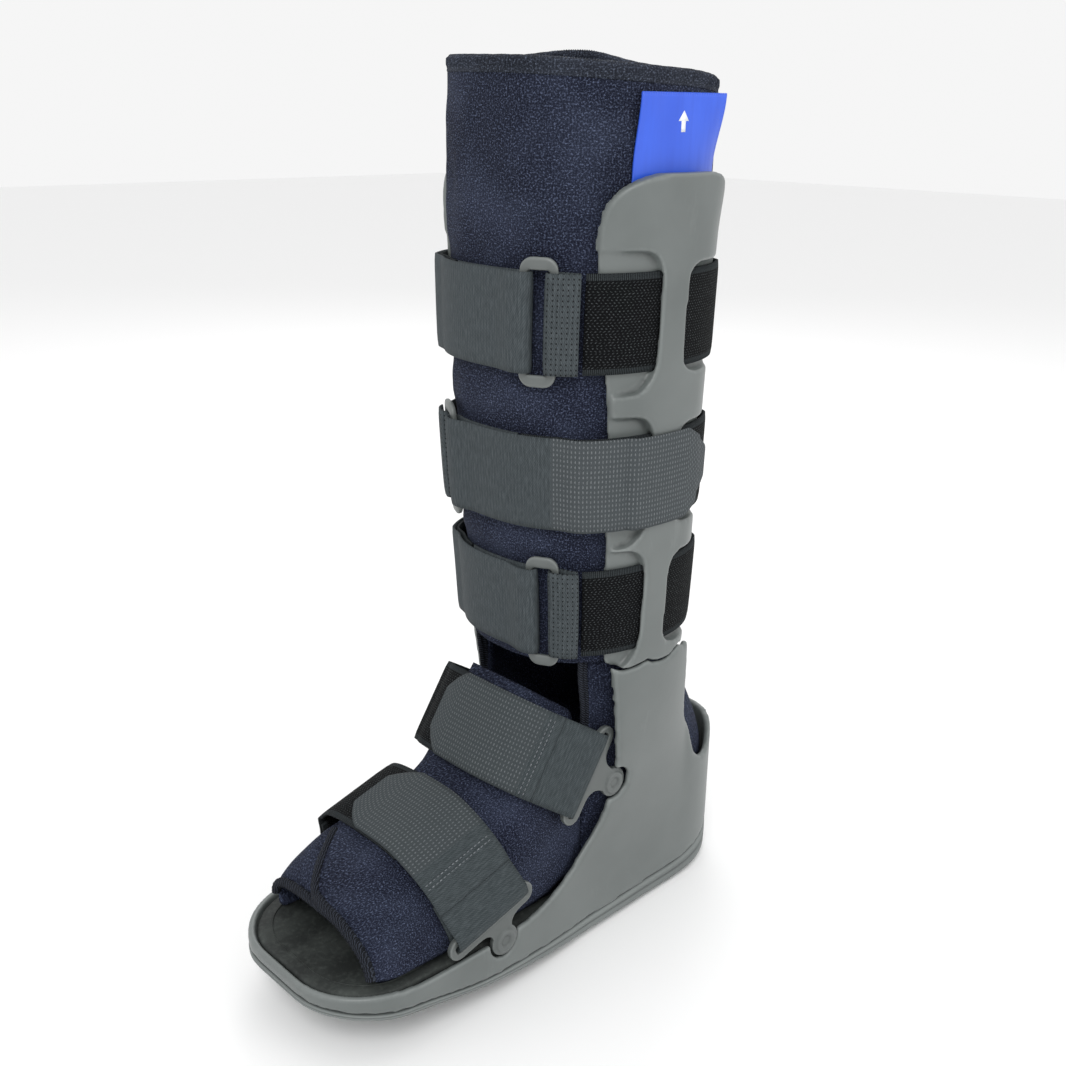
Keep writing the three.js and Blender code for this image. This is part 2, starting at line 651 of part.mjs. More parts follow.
const RING_REACH = (RING_WIDTH / 2 - RING_BAR / 2) * DEGREES_PER_MM;
function ring(low, degrees) {
  const frame = roundedFrame(RING_WIDTH, RING_HEIGHT, RING_WIDTH / 3);
  frame.holes.push(roundedFrame(RING_WIDTH - 2 * RING_BAR, STRAP_WIDTH + 4 * GAP, RING_BAR / 2));
  const flat = new THREE.ExtrudeGeometry(frame, {
    depth: RING_DEEP, bevelEnabled: false, curveSegments: 2,
  });
  const middle = low + STRAP_WIDTH / 2;
  const out = seat(degrees) + WEB / 2 + RING_TURN - RING_DEEP / 2;
  return warp(flat, (a, b, d) => (
    legPoint(radians(degrees + a * DEGREES_PER_MM), middle + b, out + d)
  ));
}

// One leg strap: the band, the tab that holds the ring and the webbing that closes on itself.
// Side is 1 where the ring's tab comes from the +X side, and -1 where it comes from the far one
const LEG_STRAPS = [
  { name: 'calf', low: STRAP_LOW[0], ring: -62, side: 1, tab: 12, tip: 148 },
  { name: 'shin', low: STRAP_LOW[1], ring: -119, side: -1, tab: 12, tip: 152 },
  { name: 'ankle', low: STRAP_LOW[2], ring: -61, side: 1, tab: 12, tip: 148 },
];
function legStrap({ low, ring: middle, side, tab, tip }) {
  const near = middle + side * RING_REACH;
  const far = middle - side * RING_REACH;
  const tabEnd = near + side * tab * DEGREES_PER_MM;
  const bandStart = near + side * (tab + 2 * GAP + WEB) * DEGREES_PER_MM;
  const cover = far - side * 38;
  const bandEnd = cover + side * 360 - side * 2;
  const tipLift = WEB + GAP + (PILE - WEB) * 1.5 + GAP;
  return {
    band: pileBand(low, bandStart, bandEnd),
    tab: webbing(low, { start: tabEnd, bar: near, tip: tabEnd, lift: WEB + GAP }),
    web: webbing(low, { start: cover, bar: far, tip: far - side * tip, lift: tipLift }),
    ring: ring(low, middle),
  };
}

// Foot straps: a route has rows of [x, height above the strap's ground], in the plane across
// the strap's lean, where it runs straight over the foot
const FOOT_STRAPS = [
  { name: 'instep', lean: INSTEP_LEAN, low: 43, bar: 83, aside: 46.6, knob: INSTEP_KNOB, tip: 0.66 },
  { name: 'toe', lean: TOE_LEAN, low: -106, bar: 78.5, aside: 52.1, knob: TOE_KNOB, tip: 0.64 },
];
const CLIP_TURN = CLIP / 2 + GAP + WEB;

// Outermost [x, height] of the foot's form under a strap, at a turn and distance out
function overFoot({ lean, low }, turn, out) {
  const spots = evenly(low, low + STRAP_WIDTH, 4).map((along) => leanPoint(turn, along, lean, out));
  const heights = spots.map((p) => p.z * lean.y - p.y * lean.z);
  const wide = Math.max(...spots.map((p) => Math.abs(p.x)));
  return [turn < 0.5 ? wide : -wide, Math.max(...heights)];
}

function footRibbon({ lean, low }, route, thickness, widthAt) {
  return ribbon(route.length - 1, thickness, (t, w) => {
    const [x, height] = readRoute(route, t);
    const along = low + STRAP_WIDTH * (0.5 + (w - 0.5) * widthAt(t));
    return new THREE.Vector3(x, lean.y * along - lean.z * height, lean.z * along + lean.y * height);
  });
}

// A strap from its turn round the clip's bar on one side, over the foot to its other end
const FOOT_OUT = FLAP_SEAT + FLAP + 1.5 * GAP;
function footStrap(strap, side, lift, thickness, endTurn, widthAt) {
  const at = (turn) => (side > 0 ? turn : 1 - turn);
  const clear = (turn) => overFoot(strap, turn, FOOT_OUT)[1] > strap.bar + 2 * CLIP_BAR;
  const start = evenly(0.05, 0.45, 41).find((turn) => clear(at(turn)));
  const doubled = (turn) => (thickness + GAP) * (1 - step(turn, start + 0.09, start + 0.16));
  const arch = (from, to, count, outAt) => evenly(from, to, count).map((turn) => (
    overFoot(strap, at(turn), FOOT_OUT + outAt(turn) + thickness / 2)
  ));
  const barTop = strap.bar + CLIP_BAR;
  const beside = (down, out) => [side * (strap.aside + out), down];
  return footRibbon(strap, [
    ...arch(start + 0.08, start, 4, () => 0),
    beside(barTop, -CLIP_TURN),
    ...halfTurn(CLIP_TURN).map(([down, out]) => beside(strap.bar - down, out)),
    beside(barTop, CLIP_TURN),
    ...arch(start + 0.04, endTurn, 15, (turn) => Math.max(lift, doubled(turn))),
  ], thickness, widthAt);
}

function clip(strap, side) {
  const { lean, low, knob: [knobY, knobZ], bar } = strap;
  const middle = low + STRAP_WIDTH / 2;
  const at = [knobY * lean.y + knobZ * lean.z - middle, knobZ * lean.y - knobY * lean.z - bar];
  const slotWide = STRAP_WIDTH + 4 * GAP;
  const half = slotWide / 2 + CLIP_BAR;
  const slotLow = -CLIP_SLOT - CLIP / 4;
  const loopLow = slotLow - CLIP_BAR;
  const loopTop = CLIP_BAR - CLIP / 4;
  const end = (loopTop - loopLow) / 2;
  const body = new THREE.Shape();
  body.moveTo(half - end, loopTop);
  body.absarc(end - half, loopTop - end, end, Math.PI / 2, 1.5 * Math.PI);
  body.lineTo(at[0] - 1.9 * KNOB, loopLow);
  body.quadraticCurveTo(at[0] - 0.9 * KNOB, loopLow, at[0] - 0.8 * KNOB, at[1] + 0.8 * KNOB);
  body.absarc(...at, KNOB, 0.78 * Math.PI, 2.22 * Math.PI);
  body.quadraticCurveTo(at[0] + 0.9 * KNOB, loopLow, at[0] + 1.9 * KNOB, loopLow);
  body.lineTo(half - end, loopLow);
  body.absarc(half - end, loopTop - end, end, -Math.PI / 2, Math.PI / 2);
  body.holes.push(outline([
    [-slotWide / 2, slotLow], [slotWide / 2, slotLow],
    [slotWide / 2, -CLIP / 4], [-slotWide / 2, -CLIP / 4],
  ]));
  const flat = new THREE.ExtrudeGeometry(body, {
    depth: CLIP, bevelEnabled: false, curveSegments: 5,
  });
  const place = side * strap.aside - CLIP / 2;
  return warp(flat, (a, b, d) => {
    const along = middle + a;
    const height = bar + b;
    const y = lean.y * along - lean.z * height;
    return new THREE.Vector3(place + d, y, lean.z * along + lean.y * height);
  });
}

// Ribbed edging in front of an edge over the foot, from one turn to another
function edging(from, to, low, high, edgeAt) {
  return mould(1, 14, 1, (u, v, w) => {
    const turn = mix(from, to, v);
    return footPoint(turn, edgeAt(turn) - GAP - w * EDGING, mix(low, high, u));
  });
}

const group = new THREE.Group();
const finishes = {
  shell: { color: 0x747977, roughness: 0.55, metalness: 0 },
  sole: { color: 0x5a5f5c, roughness: 0.75, metalness: 0 },
  foam: { color: 0x2b2f33, roughness: 0.9, metalness: 0 },
  liner: { color: 0x2e3346, roughness: 0.95, metalness: 0 },
  webbing: { color: 0x454f53, roughness: 0.85, metalness: 0 },
  pile: { color: 0x1c1f20, roughness: 0.95, metalness: 0 },
  sleeve: { color: 0x3f6be8, roughness: 0.35, metalness: 0 },
};

function add(name, geometry, finish) {
  const mesh = new THREE.Mesh(geometry, new THREE.MeshStandardMaterial(finishes[finish]));
  mesh.name = name;
  group.add(mesh);
}

add('outsole', outsole(), 'sole');
add('base_shell', baseShell(), 'shell');
add('insole', insole(), 'foam');
const uprightForm = upright();
add('upright_left', uprightForm, 'shell');
add('upright_right', mirrored(uprightForm), 'shell');
const sleeveForm = pullSleeve();
add('pull_sleeve_left', sleeveForm, 'sleeve');
add('pull_sleeve_right', mirrored(sleeveForm), 'sleeve');
add('leg_liner', legLiner(), 'liner');
add('leg_binding', legBinding(), 'foam');
add('foot_liner', footLiner(), 'liner');
add('foot_flap', nearFlap(), 'liner');

const flapEdging = [FLAP_SEAT - GAP, FLAP_SEAT + FLAP + GAP];
add('flap_binding', edging(0.02, 0.78 * FLAP_TURN, ...flapEdging, flapFront), 'foam');
const linerEdging = [-FOOT_WALL - GAP, GAP];
add('liner_binding', edging(0.03, 0.97, ...linerEdging, () => TOE_EDGE * TOE_REACH), 'foam');
LEG_STRAPS.forEach((strap) => {
  const pieces = legStrap(strap);
  add(`${strap.name}_strap_band`, pieces.band, 'pile');
  add(`${strap.name}_strap_tab`, pieces.tab, 'webbing');
  add(`${strap.name}_strap_web`, pieces.web, 'webbing');
  add(`${strap.name}_strap_ring`, pieces.ring, 'shell');
});
FOOT_STRAPS.forEach((strap) => {
  const tip = (t) => mix(1, 0.6, Math.max(0, t - 0.93) / 0.07);
  const hook = footStrap(strap, 1, PILE + GAP, WEB, strap.tip, tip);
  add(`${strap.name}_strap_hook`, hook, 'webbing');
  add(`${strap.name}_strap_pile`, footStrap(strap, -1, 0, PILE, 0.62, () => 1), 'pile');
  add(`${strap.name}_clip_left`, clip(strap, 1), 'shell');
  add(`${strap.name}_clip_right`, clip(strap, -1), 'shell');
});

export default group;
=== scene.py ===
from math import atan2, cos, hypot, pi, radians, sin

import bmesh
import bpy
from mathutils import Matrix, Vector
from mathutils.noise import noise as noise_at


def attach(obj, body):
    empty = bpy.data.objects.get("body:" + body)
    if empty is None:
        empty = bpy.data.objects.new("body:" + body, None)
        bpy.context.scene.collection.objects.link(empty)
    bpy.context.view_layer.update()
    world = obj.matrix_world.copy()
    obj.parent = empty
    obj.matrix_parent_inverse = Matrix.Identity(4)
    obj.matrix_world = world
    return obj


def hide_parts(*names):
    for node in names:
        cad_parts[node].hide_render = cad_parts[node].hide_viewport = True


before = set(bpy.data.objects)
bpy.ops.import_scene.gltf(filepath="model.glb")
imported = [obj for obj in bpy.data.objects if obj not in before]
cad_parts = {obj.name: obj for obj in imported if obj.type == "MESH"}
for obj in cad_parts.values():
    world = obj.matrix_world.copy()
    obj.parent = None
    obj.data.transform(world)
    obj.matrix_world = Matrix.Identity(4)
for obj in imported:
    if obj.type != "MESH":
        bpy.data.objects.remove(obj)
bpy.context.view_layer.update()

# The place for the picture: a wide pale floor under a white sky, three soft lights and a
# camera that looks down on the boot from in front of its fastening side. Lengths in this
# file are in millimetres, and MM turns them into the scene's metres.
MM = 0.001
CAMERA_AT = Vector((431.7, -436.7, 420.0)) * MM
CAMERA_HEADING = radians(46.53)
CAMERA_DOWN = radians(18.97)
CAMERA_ROLL = radians(0.79)
SENSOR = 36.0
FOCAL_SHARE = 1246.2 / 1066

camera = bpy.data.objects.new("camera", bpy.data.cameras.new("camera"))
camera.data.sensor_width = SENSOR
camera.data.lens = SENSOR * FOCAL_SHARE
camera.data.clip_start = 0.01
turned = Matrix.Rotation(CAMERA_HEADING, 4, "Z") @ Matrix.Rotation(pi / 2 - CAMERA_DOWN, 4, "X")
camera.matrix_world = Matrix.Translation(CAMERA_AT) @ turned @ Matrix.Rotation(CAMERA_ROLL, 4, "Z")
bpy.context.scene.collection.objects.link(camera)
bpy.context.scene.camera = camera
bpy.context.scene.view_settings.view_transform = "Standard"


def plain_material(name, color, roughness):
    material = bpy.data.materials.new(name)
    material.use_nodes = True
    surface = material.node_tree.nodes["Principled BSDF"]
    surface.inputs["Base Color"].default_value = (*color, 1)
    surface.inputs["Roughness"].default_value = roughness
    return material


bpy.ops.mesh.primitive_plane_add(size=12, location=(0, 0, -0.0005))
floor_sheet = bpy.context.object
floor_sheet.name = "floor"
floor_sheet.data.materials.append(plain_material("pale_floor", (0.93, 0.93, 0.93), 0.8))

world = bpy.data.worlds.new("studio")
world.use_nodes = True
sky = world.node_tree.nodes["Background"].inputs
sky["Color"].default_value = (1, 1, 1, 1)
sky["Strength"].default_value = 0.92
bpy.context.scene.world = world


def soft_light(name, at, size, watts):
    lamp = bpy.data.lights.new(name, "AREA")
    lamp.shape = "DISK"
    lamp.size = size
    lamp.energy = watts
    light = bpy.data.objects.new(name, lamp)
    light.location = at
    light.rotation_euler = (Vector((0, -0.03, 0.2)) - Vector(at)).to_track_quat("-Z", "Y").to_euler()
    bpy.context.scene.collection.objects.link(light)


soft_light("key", (0.9, -1.1, 1.5), 0.7, 13)
soft_light("side", (1.6, 0.5, 0.8), 1.0, 5)
soft_light("back", (-1.1, 1.0, 1.3), 1.0, 6)

# The outsole: a rocker sole of dark rubber, pressed in two layers with a fine groove between
# them and glued to the shell. It is flat under the leg and rises to the toe and the heel.
GAP = 0.4
TOE_REACH = 189
HEEL_REACH = 97
FOOT_HALF_WIDTH = 54
TOE_SEAM = 31
SOLE_BEVEL = 5


def table(columns, *rows):
    """Rows of values with named columns."""
    return [dict(zip(columns.split(), row)) for row in rows]


# Foot sections from toe (-1) to heel (+1): half width, tread, outsole edge and seam height
FOOT = table(
    "at wide tread edge seam",
    (-1, 0.94, 0.87, 0.92, 1),
    (-0.79, 1, 0.6, 0.75, 0.82),
    (-0.56, 1, 0.32, 0.46, 0.54),
    (-0.32, 0.95, 0.1, 0.26, 0.42),
    (-0.12, 0.87, 0, 0.13, 0.35),
    (0.4, 0.82, 0, 0.08, 0.35),
    (0.72, 0.81, 0, 0.15, 0.5),
    (1, 0.79, 0.15, 0.4, 0.95),
)
TOE_ROUND = {"from": 0.8, "flat": 0.3, "power": 2}
HEEL_ROUND = {"from": 0.52, "flat": 0.12, "power": 2.3}


def smooth(rows, key, column, at):
    """Value of a column at a place, on a smooth curve through the rows."""
    last = len(rows) - 1
    if at <= rows[0][key]:
        return rows[0][column]
    if at >= rows[last][key]:
        return rows[last][column]

    def slope(j):
        return (rows[j + 1][column] - rows[j][column]) / (rows[j + 1][key] - rows[j][key])

    def tangent(j):
        if j in (0, last):
            return slope(min(j, last - 1))
        before, after = slope(j - 1), slope(j)
        return 0 if before * after <= 0 else 2 * before * after / (before + after)

    i = 0
    while at > rows[i + 1][key]:
        i += 1
    span = rows[i + 1][key] - rows[i][key]
    t = (at - rows[i][key]) / span
    rest = 1 - t
    ends = rest * rest * (1 + 2 * t) * rows[i][column] + t * t * (3 - 2 * t) * rows[i + 1][column]
    return ends + span * t * rest * (rest * tangent(i) - t * tangent(i + 1))


def mix(a, b, t):
    return a + (b - a) * t


def step(x, low, high):
    t = min(1, max(0, (x - low) / (high - low)))
    return t * t * (3 - 2 * t)


def share(y):
    return y / (TOE_REACH if y < 0 else HEEL_REACH)


def half_width(y, inset):
    """Half width of the foot's outline, drawn in by an inset, with its round toe and heel."""
    wide = FOOT_HALF_WIDTH * smooth(FOOT, "at", "wide", share(y)) - inset
    end, size = (TOE_ROUND, TOE_REACH) if y < 0 else (HEEL_ROUND, HEEL_REACH)
    into = (abs(y) - end["from"] * size) / (size - inset - end["from"] * size)
    if into <= 0:
        return wide
    turn = (1 - min(into, 1) ** end["power"]) ** (1 / end["power"])
    return wide * mix(end["flat"], 1, turn)


def station(t, inset):
    """A place along the foot, with closer steps towards both ends."""
    eased = t - 0.7 * sin(2 * pi * t) / (2 * pi)
    return mix(inset - TOE_REACH, HEEL_REACH - inset, eased)


def piece_from(name, points, faces):
    """A mesh object from points in millimetres, with its faces turned outwards."""
    mesh = bpy.data.meshes.new(name)
    mesh.from_pydata([tuple(value * MM for value in p) for p in points], [], faces)
    form = bmesh.new()
    form.from_mesh(mesh)
    bmesh.ops.remove_doubles(form, verts=form.verts, dist=1e-6)
    bmesh.ops.recalc_face_normals(form, faces=form.faces)
    form.to_mesh(mesh)
    form.free()
    mesh.shade_smooth()
    piece = bpy.data.objects.new(name, mesh)
    bpy.context.scene.collection.objects.link(piece)
    return piece


def mould(name, across, along, up, rule):
    """A closed box grid whose points are placed by a rule of three shares from 0 to 1."""
    counts = (across, along, up)
    index, points, faces = {}, [], []

    def corner(*key):
        if key not in index:
            index[key] = len(points)
            points.append(rule(*(k / count for k, count in zip(key, counts))))
        return index[key]

    for axis in range(3):
        first, second = [other for other in range(3) if other != axis]
        for side in (0, counts[axis]):
            for i in range(counts[first]):
                for j in range(counts[second]):
                    ring = []
                    for di, dj in ((0, 0), (1, 0), (1, 1), (0, 1)):
                        key = [0, 0, 0]
                        key[axis], key[first], key[second] = side, i + di, j + dj
                        ring.append(corner(*key))
                    faces.append(ring)
    return piece_from(name, points, faces)


class Field:
    """A value or colour inside a node group, with sums, products, waves and ramps."""

    def __init__(self, group, socket):
        self.group = group
        self.socket = socket

    def maths(self, operation, *others):
        node = self.group.nodes.new("ShaderNodeMath")
        node.operation = operation
        for socket, value in zip(node.inputs, (self, *others)):
            feed(self.group, socket, value)
        return Field(self.group, node.outputs[0])

    def __add__(self, other):
        return self.maths("ADD", other)

    def __sub__(self, other):
        return self.maths("SUBTRACT", other)

    def __mul__(self, other):
        return self.maths("MULTIPLY", other)

    def wave(self, period):
        return (self * (2 * pi / period)).maths("SINE")

    def ramp(self, low, high):
        node = self.group.nodes.new("ShaderNodeMapRange")
        node.inputs["From Min"].default_value = low
        node.inputs["From Max"].default_value = high
        feed(self.group, node.inputs["Value"], self)
        return Field(self.group, node.outputs["Result"])


def feed(group, socket, value):
    if isinstance(value, Field):
        group.links.new(value.socket, socket)
    else:
        socket.default_value = value


def blend(group, factor, first, second):
    node = group.nodes.new("ShaderNodeMix")
    node.data_type = "RGBA"
    for slot, value in ((0, factor), (6, first), (7, second)):
        feed(group, node.inputs[slot], value)
    return Field(group, node.outputs[2])


def noise(group, scale, detail, place=None, stretch=None, roughness=0.5):
    node = group.nodes.new("ShaderNodeTexNoise")
    for label, value in (("Scale", scale), ("Detail", detail), ("Roughness", roughness)):
        node.inputs[label].default_value = value
    if place is None:
        place = group.nodes.new("ShaderNodeTexCoord").outputs["Object"]
    if stretch:
        mapping = group.nodes.new("ShaderNodeMapping")
        mapping.inputs["Scale"].default_value = stretch
        group.links.new(place, mapping.inputs["Vector"])
        place = mapping.outputs["Vector"]
    group.links.new(place, node.inputs["Vector"])
    return Field(group, node.outputs["Fac"])


EFFECT_OUT = {"Color": "NodeSocketColor", "Roughness": "NodeSocketFloat", "Height": "NodeSocketFloat"}


def new_effect(name, colors, numbers=None):
    """A shader node group for a surface, and its inputs: colours, and numbers with defaults."""
    group = bpy.data.node_groups.new(name, "ShaderNodeTree")
    numbers = numbers or {}
    for label in colors:
        group.interface.new_socket(label, in_out="INPUT", socket_type="NodeSocketColor")
    for label, value in numbers.items():
        socket = group.interface.new_socket(label, in_out="INPUT", socket_type="NodeSocketFloat")
        socket.default_value = value
    for label, kind in EFFECT_OUT.items():
        group.interface.new_socket(label, in_out="OUTPUT", socket_type=kind)
    given = group.nodes.new("NodeGroupInput").outputs
    return group, *(Field(group, given[label]) for label in (*colors, *numbers))


def finish_effect(group, *results):
    """Gives the group its colour, roughness and height."""
    out = group.nodes.new("NodeGroupOutput")
    for label, result in zip(EFFECT_OUT, results):
        feed(group, out.inputs[label], result)
    return group


def moulded_effect():
    """Moulded plastic or rubber: fine spark grain, soft cloudy patches, rubbed pale edges, and painted shade
    darkening its hollows and creases.
    """
    group, color, rubbed, cloudy, gloss = new_effect(
        "moulded_grain", ("Color", "Rubbed"), {"Cloud": 0.2, "Gloss": 0.5})
    grain = noise(group, 2600, 2)
    cloud = noise(group, 28, 3)
    scuff = noise(group, 60, 6, stretch=(1, 1, 0.25), roughness=0.7)
    pointed = Field(group, group.nodes.new("ShaderNodeNewGeometry").outputs["Pointiness"])
    shade = cloud.ramp(0.3, 0.7) * cloudy + pointed.ramp(0.515, 0.56) * 0.5
    shade += scuff.ramp(0.62, 0.8) * 0.3
    worn = blend(group, shade, color, rubbed)
    # Painted shade: hollows and creases, where pointiness is low, are blended towards near-black in place of
    # the shade they catch.
    dark = blend(group, 0.75, color, (0.004, 0.004, 0.004, 1))
    return finish_effect(group, blend(group, pointed.ramp(0.488, 0.44), worn, dark),
                         cloud.ramp(0.2, 0.8) * 0.12 + gloss, scuff * 0.4 + grain)


MOULDED = moulded_effect()


def grown_material(name, group, values, bump, distance, shine=0.5):
    """A material of an effect with its own values. Cloth and foam shine less than plastic."""
    material = bpy.data.materials.new(name)
    material.use_nodes = True
    nodes, links = material.node_tree.nodes, material.node_tree.links
    effect = nodes.new("ShaderNodeGroup")
    effect.node_tree = group
    for label, value in values.items():
        effect.inputs[label].default_value = value
    surface = nodes["Principled BSDF"].inputs
    surface["Specular IOR Level"].default_value = shine
    lift = nodes.new("ShaderNodeBump")
    lift.inputs["Strength"].default_value = bump
    lift.inputs["Distance"].default_value = distance * MM
    links.new(effect.outputs["Color"], surface["Base Color"])
    links.new(effect.outputs["Roughness"], surface["Roughness"])
    links.new(effect.outputs["Height"], lift.inputs["Height"])
    links.new(lift.outputs["Normal"], surface["Normal"])
    return material


def dress(piece, material, slot, *nodes):
    """Gives a piece its material and ties it to the boot, in place of plain solids."""
    piece.data.materials.clear()
    piece.data.materials.append(material)
    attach(piece, "root")
    if nodes:
        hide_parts(*nodes)


# Outsole levels from tread to seam: draw-in, and a height between two of the foot's columns
SOLE_LEVELS = table(
    "inset from to t",
    (SOLE_BEVEL, "tread", "tread", 0),
    (3.2, "tread", "edge", 0.3),
    (1.2, "tread", "edge", 0.75),
    (0.1, "tread", "edge", 1),
    (0, "edge", "seam", 0.42),
    (0.9, "edge", "seam", 0.5),
    (0, "edge", "seam", 0.58),
    (0.1, "edge", "seam", 0.9),
    (1, "edge", "seam", 1),
)


def outsole_point(u, v, w):
    level = SOLE_LEVELS[round(w * (len(SOLE_LEVELS) - 1))]
    y = station(v, level["inset"])
    low = smooth(FOOT, "at", level["from"], share(y))
    high = smooth(FOOT, "at", level["to"], share(y))
    return (2 * u - 1) * half_width(y, level["inset"]), y, TOE_SEAM * mix(low, high, level["t"])


SOLE_RUBBER = grown_material("sole_rubber", MOULDED, {
    "Color": (0.095, 0.106, 0.104, 1), "Rubbed": (0.2, 0.22, 0.215, 1), "Cloud": 0.25, "Gloss": 0.55,
}, 0.25, 0.12)
outsole = mould("outsole_rubber", 10, 150, len(SOLE_LEVELS) - 1, outsole_point)
dress(outsole, SOLE_RUBBER, "outsole_rubber", "outsole")

# The base shell: one moulded nylon shell round the foot and heel, with a thick rounded lip,
# low at the toe, with round notches that hold the clips' knobs, and cut away at the heel.
# Its two cheeks swell at the ankle to carry the uprights.
FLOOR = 3
SHELL_WALL = 3.5
TOE_RIM = 39
ANKLE_TOP = 157
HEEL_RIM = 88
BOOT_HEIGHT = 440
LEG_HALF_WIDTH = 59
LEG_HALF_DEPTH = 58.5
LEG_ROUND = 2.4
KNOB = 8
KNOB_ROOM = 1.2
INSTEP_KNOB = (-13, 88)
TOE_KNOB = (-93, 34)
PLATE_IN = 1.7
PLATE_OUT = 4.1
PILE = 1.9
SLOT_OUT = PLATE_OUT + GAP + PILE + GAP
RAISED_OUT = SLOT_OUT + 2.4
# Leg sections up the boot: half width, half depth and middle, as shares of the top's
LEG = table(
    "up wide deep mid",
    (0.34, 0.82, 0.88, 0.07),
    (0.43, 0.86, 0.91, 0.06),
    (0.58, 0.91, 0.97, 0.02),
    (0.75, 0.96, 1, 0),
    (0.9, 1, 1, 0),
    (1, 1.01, 1, 0),
)


def seam_height(y):
    return TOE_SEAM * smooth(FOOT, "at", "seam", share(y))


def floor_height(y):
    return seam_height(y) + GAP + FLOOR


def leg_size(z):
    up = z / BOOT_HEIGHT
    return (LEG_HALF_WIDTH * smooth(LEG, "up", "wide", up), LEG_HALF_DEPTH * smooth(LEG, "up", "deep", up),
            LEG_HALF_DEPTH * smooth(LEG, "up", "mid", up))


def leg_point(angle, z, out):
    """Point on the leg liner's outer face at an angle, height and distance out from it."""
    wide, deep, mid = leg_size(z)
    c, s = cos(angle), sin(angle)
    bend = 2 / LEG_ROUND
    side, fore = (1 if c >= 0 else -1), (1 if s >= 0 else -1)
    across, along = side * abs(c) ** (2 - bend) / wide, fore * abs(s) ** (2 - bend) / deep
    size = hypot(across, along)
    return (side * wide * abs(c) ** bend + out * across / size,
            mid + fore * deep * abs(s) ** bend + out * along / size, z)


def shell_half(y, z, inset, leg_out=None):
    """Half width of the shell: the foot's outline, swelling to carry the uprights."""
    leg_out = RAISED_OUT - inset if leg_out is None else leg_out
    wide, deep, mid = leg_size(ANKLE_TOP)
    aside = min(1, abs(y - mid) / (deep + leg_out)) ** LEG_ROUND
    leg = (wide + leg_out) * (1 - aside) ** (1 / LEG_ROUND)
    foot = half_width(y, inset)
    return foot + step(z, TOE_RIM, ANKLE_TOP) * max(0, leg - foot)


def plate(name, outline, near, far, place):
    """A flat plate of an outline between two depths, set in place by a rule."""
    count = len(outline)
    points = [place(a, b, d) for d in (near, far) for a, b in outline]
    faces = [list(range(count)), list(range(count, 2 * count))]
    faces += [[i, (i + 1) % count, (i + 1) % count + count, i + count] for i in range(count)]
    return piece_from(name, points, faces)


def side_bar(name, outline, reach=110):
    """A bar through the boot from side to side, from its outline in the side view."""
    return plate(name, outline, -reach, reach, lambda y, z, x: (x, y, z))


def settle(piece):
    """Applies a piece's modifiers to its mesh."""
    graph = bpy.context.evaluated_depsgraph_get()
    final = bpy.data.meshes.new_from_object(piece.evaluated_get(graph))
    piece.modifiers.clear()
    piece.data = final
    final.shade_smooth()
    return piece


def join(piece, tool, operation):
    """Cuts, adds or keeps what a tool shares with a piece, and drops the tool."""
    cutter = piece.modifiers.new("join", "BOOLEAN")
    cutter.operation = operation
    cutter.solver = "EXACT"
    cutter.object = tool
    settle(piece)
    bpy.data.objects.remove(tool)
    return piece


def soften(piece, voxel, rounds):
    """Rounds a hard piece's edges as a mould does: even small faces, then smoothed."""
    grain = piece.modifiers.new("grain", "REMESH")
    grain.mode = "VOXEL"
    grain.voxel_size = voxel * MM
    grain.use_smooth_shade = True
    ease = piece.modifiers.new("ease", "SMOOTH")
    ease.factor = 0.5
    ease.iterations = rounds
    return settle(piece)


def bend_through(points, steps=6):
    """A smooth line through points of the side view, which never bulges between them."""
    line = []
    for i in range(len(points) - 1):
        before, here = points[max(0, i - 1)], points[i]
        there, after = points[i + 1], points[min(len(points) - 1, i + 2)]
        for k in range(steps):
            t = k / steps
            line.append(tuple(
                0.5 * (2 * b + (c - a) * t + (2 * a - 5 * b + 4 * c - d) * t * t
                       + (3 * b - a - 3 * c + d) * t ** 3)
                for a, b, c, d in zip(before, here, there, after)))
    return line + [tuple(points[-1])]


ANKLE_FRONT, ANKLE_REAR = -23, 36
ANKLE_DIPS = [(0, 0.006), (0.14, -0.013), (0.37, -0.003), (0.45, -0.016), (0.62, -0.022),
              (0.8, 0), (0.9, -0.013), (1, -0.008)]


def ankle_wave(lift):
    """Side view of the line where the uprights stand on the shell, front to rear."""
    return bend_through([(mix(ANKLE_FRONT, ANKLE_REAR, at), ANKLE_TOP * (1 + dip) + lift)
                         for at, dip in ANKLE_DIPS], 4)


# The shell's lip in the side view, as shares of the reach and of the rims' heights or their rise
TOE_LIP = ((1.1, 1), (0.85, 0.97), (0.72, 0.9), (0.42, 0.92), (0.33, 1))
LIP_SLOPE = ((0.24, 0.18), (0.17, 0.42), (0.11, 0.72))
HEEL_LIP = ((0.53, 1.1), (0.6, 0.9), (0.68, 0.82), (0.78, 0.83), (0.9, 0.95), (1.1, 1))


def shell_outline():
    knob_y, knob_z = INSTEP_KNOB
    lip = knob_z - KNOB - KNOB_ROOM
    rise = lip - TOE_RIM
    low_lip = [(-at * TOE_REACH, high * TOE_RIM) for at, high in TOE_LIP]
    slope = [(-at * TOE_REACH, TOE_RIM + part * rise) for at, part in LIP_SLOPE]
    front = bend_through(low_lip + slope + [(knob_y - 4, lip)])
    notch = [(knob_y, knob_z), (knob_y - 1, knob_z + KNOB + KNOB_ROOM)]
    heel = bend_through([(ANKLE_REAR + 3, 0.86 * ANKLE_TOP), (0.45 * HEEL_REACH, 0.7 * ANKLE_TOP)]
                        + [(at * HEEL_REACH, high * HEEL_RIM) for at, high in HEEL_LIP])
    return [(-1.1 * TOE_REACH, -TOE_SEAM)] + front + notch + ankle_wave(0) + heel + [
        (1.1 * HEEL_REACH, -TOE_SEAM)]


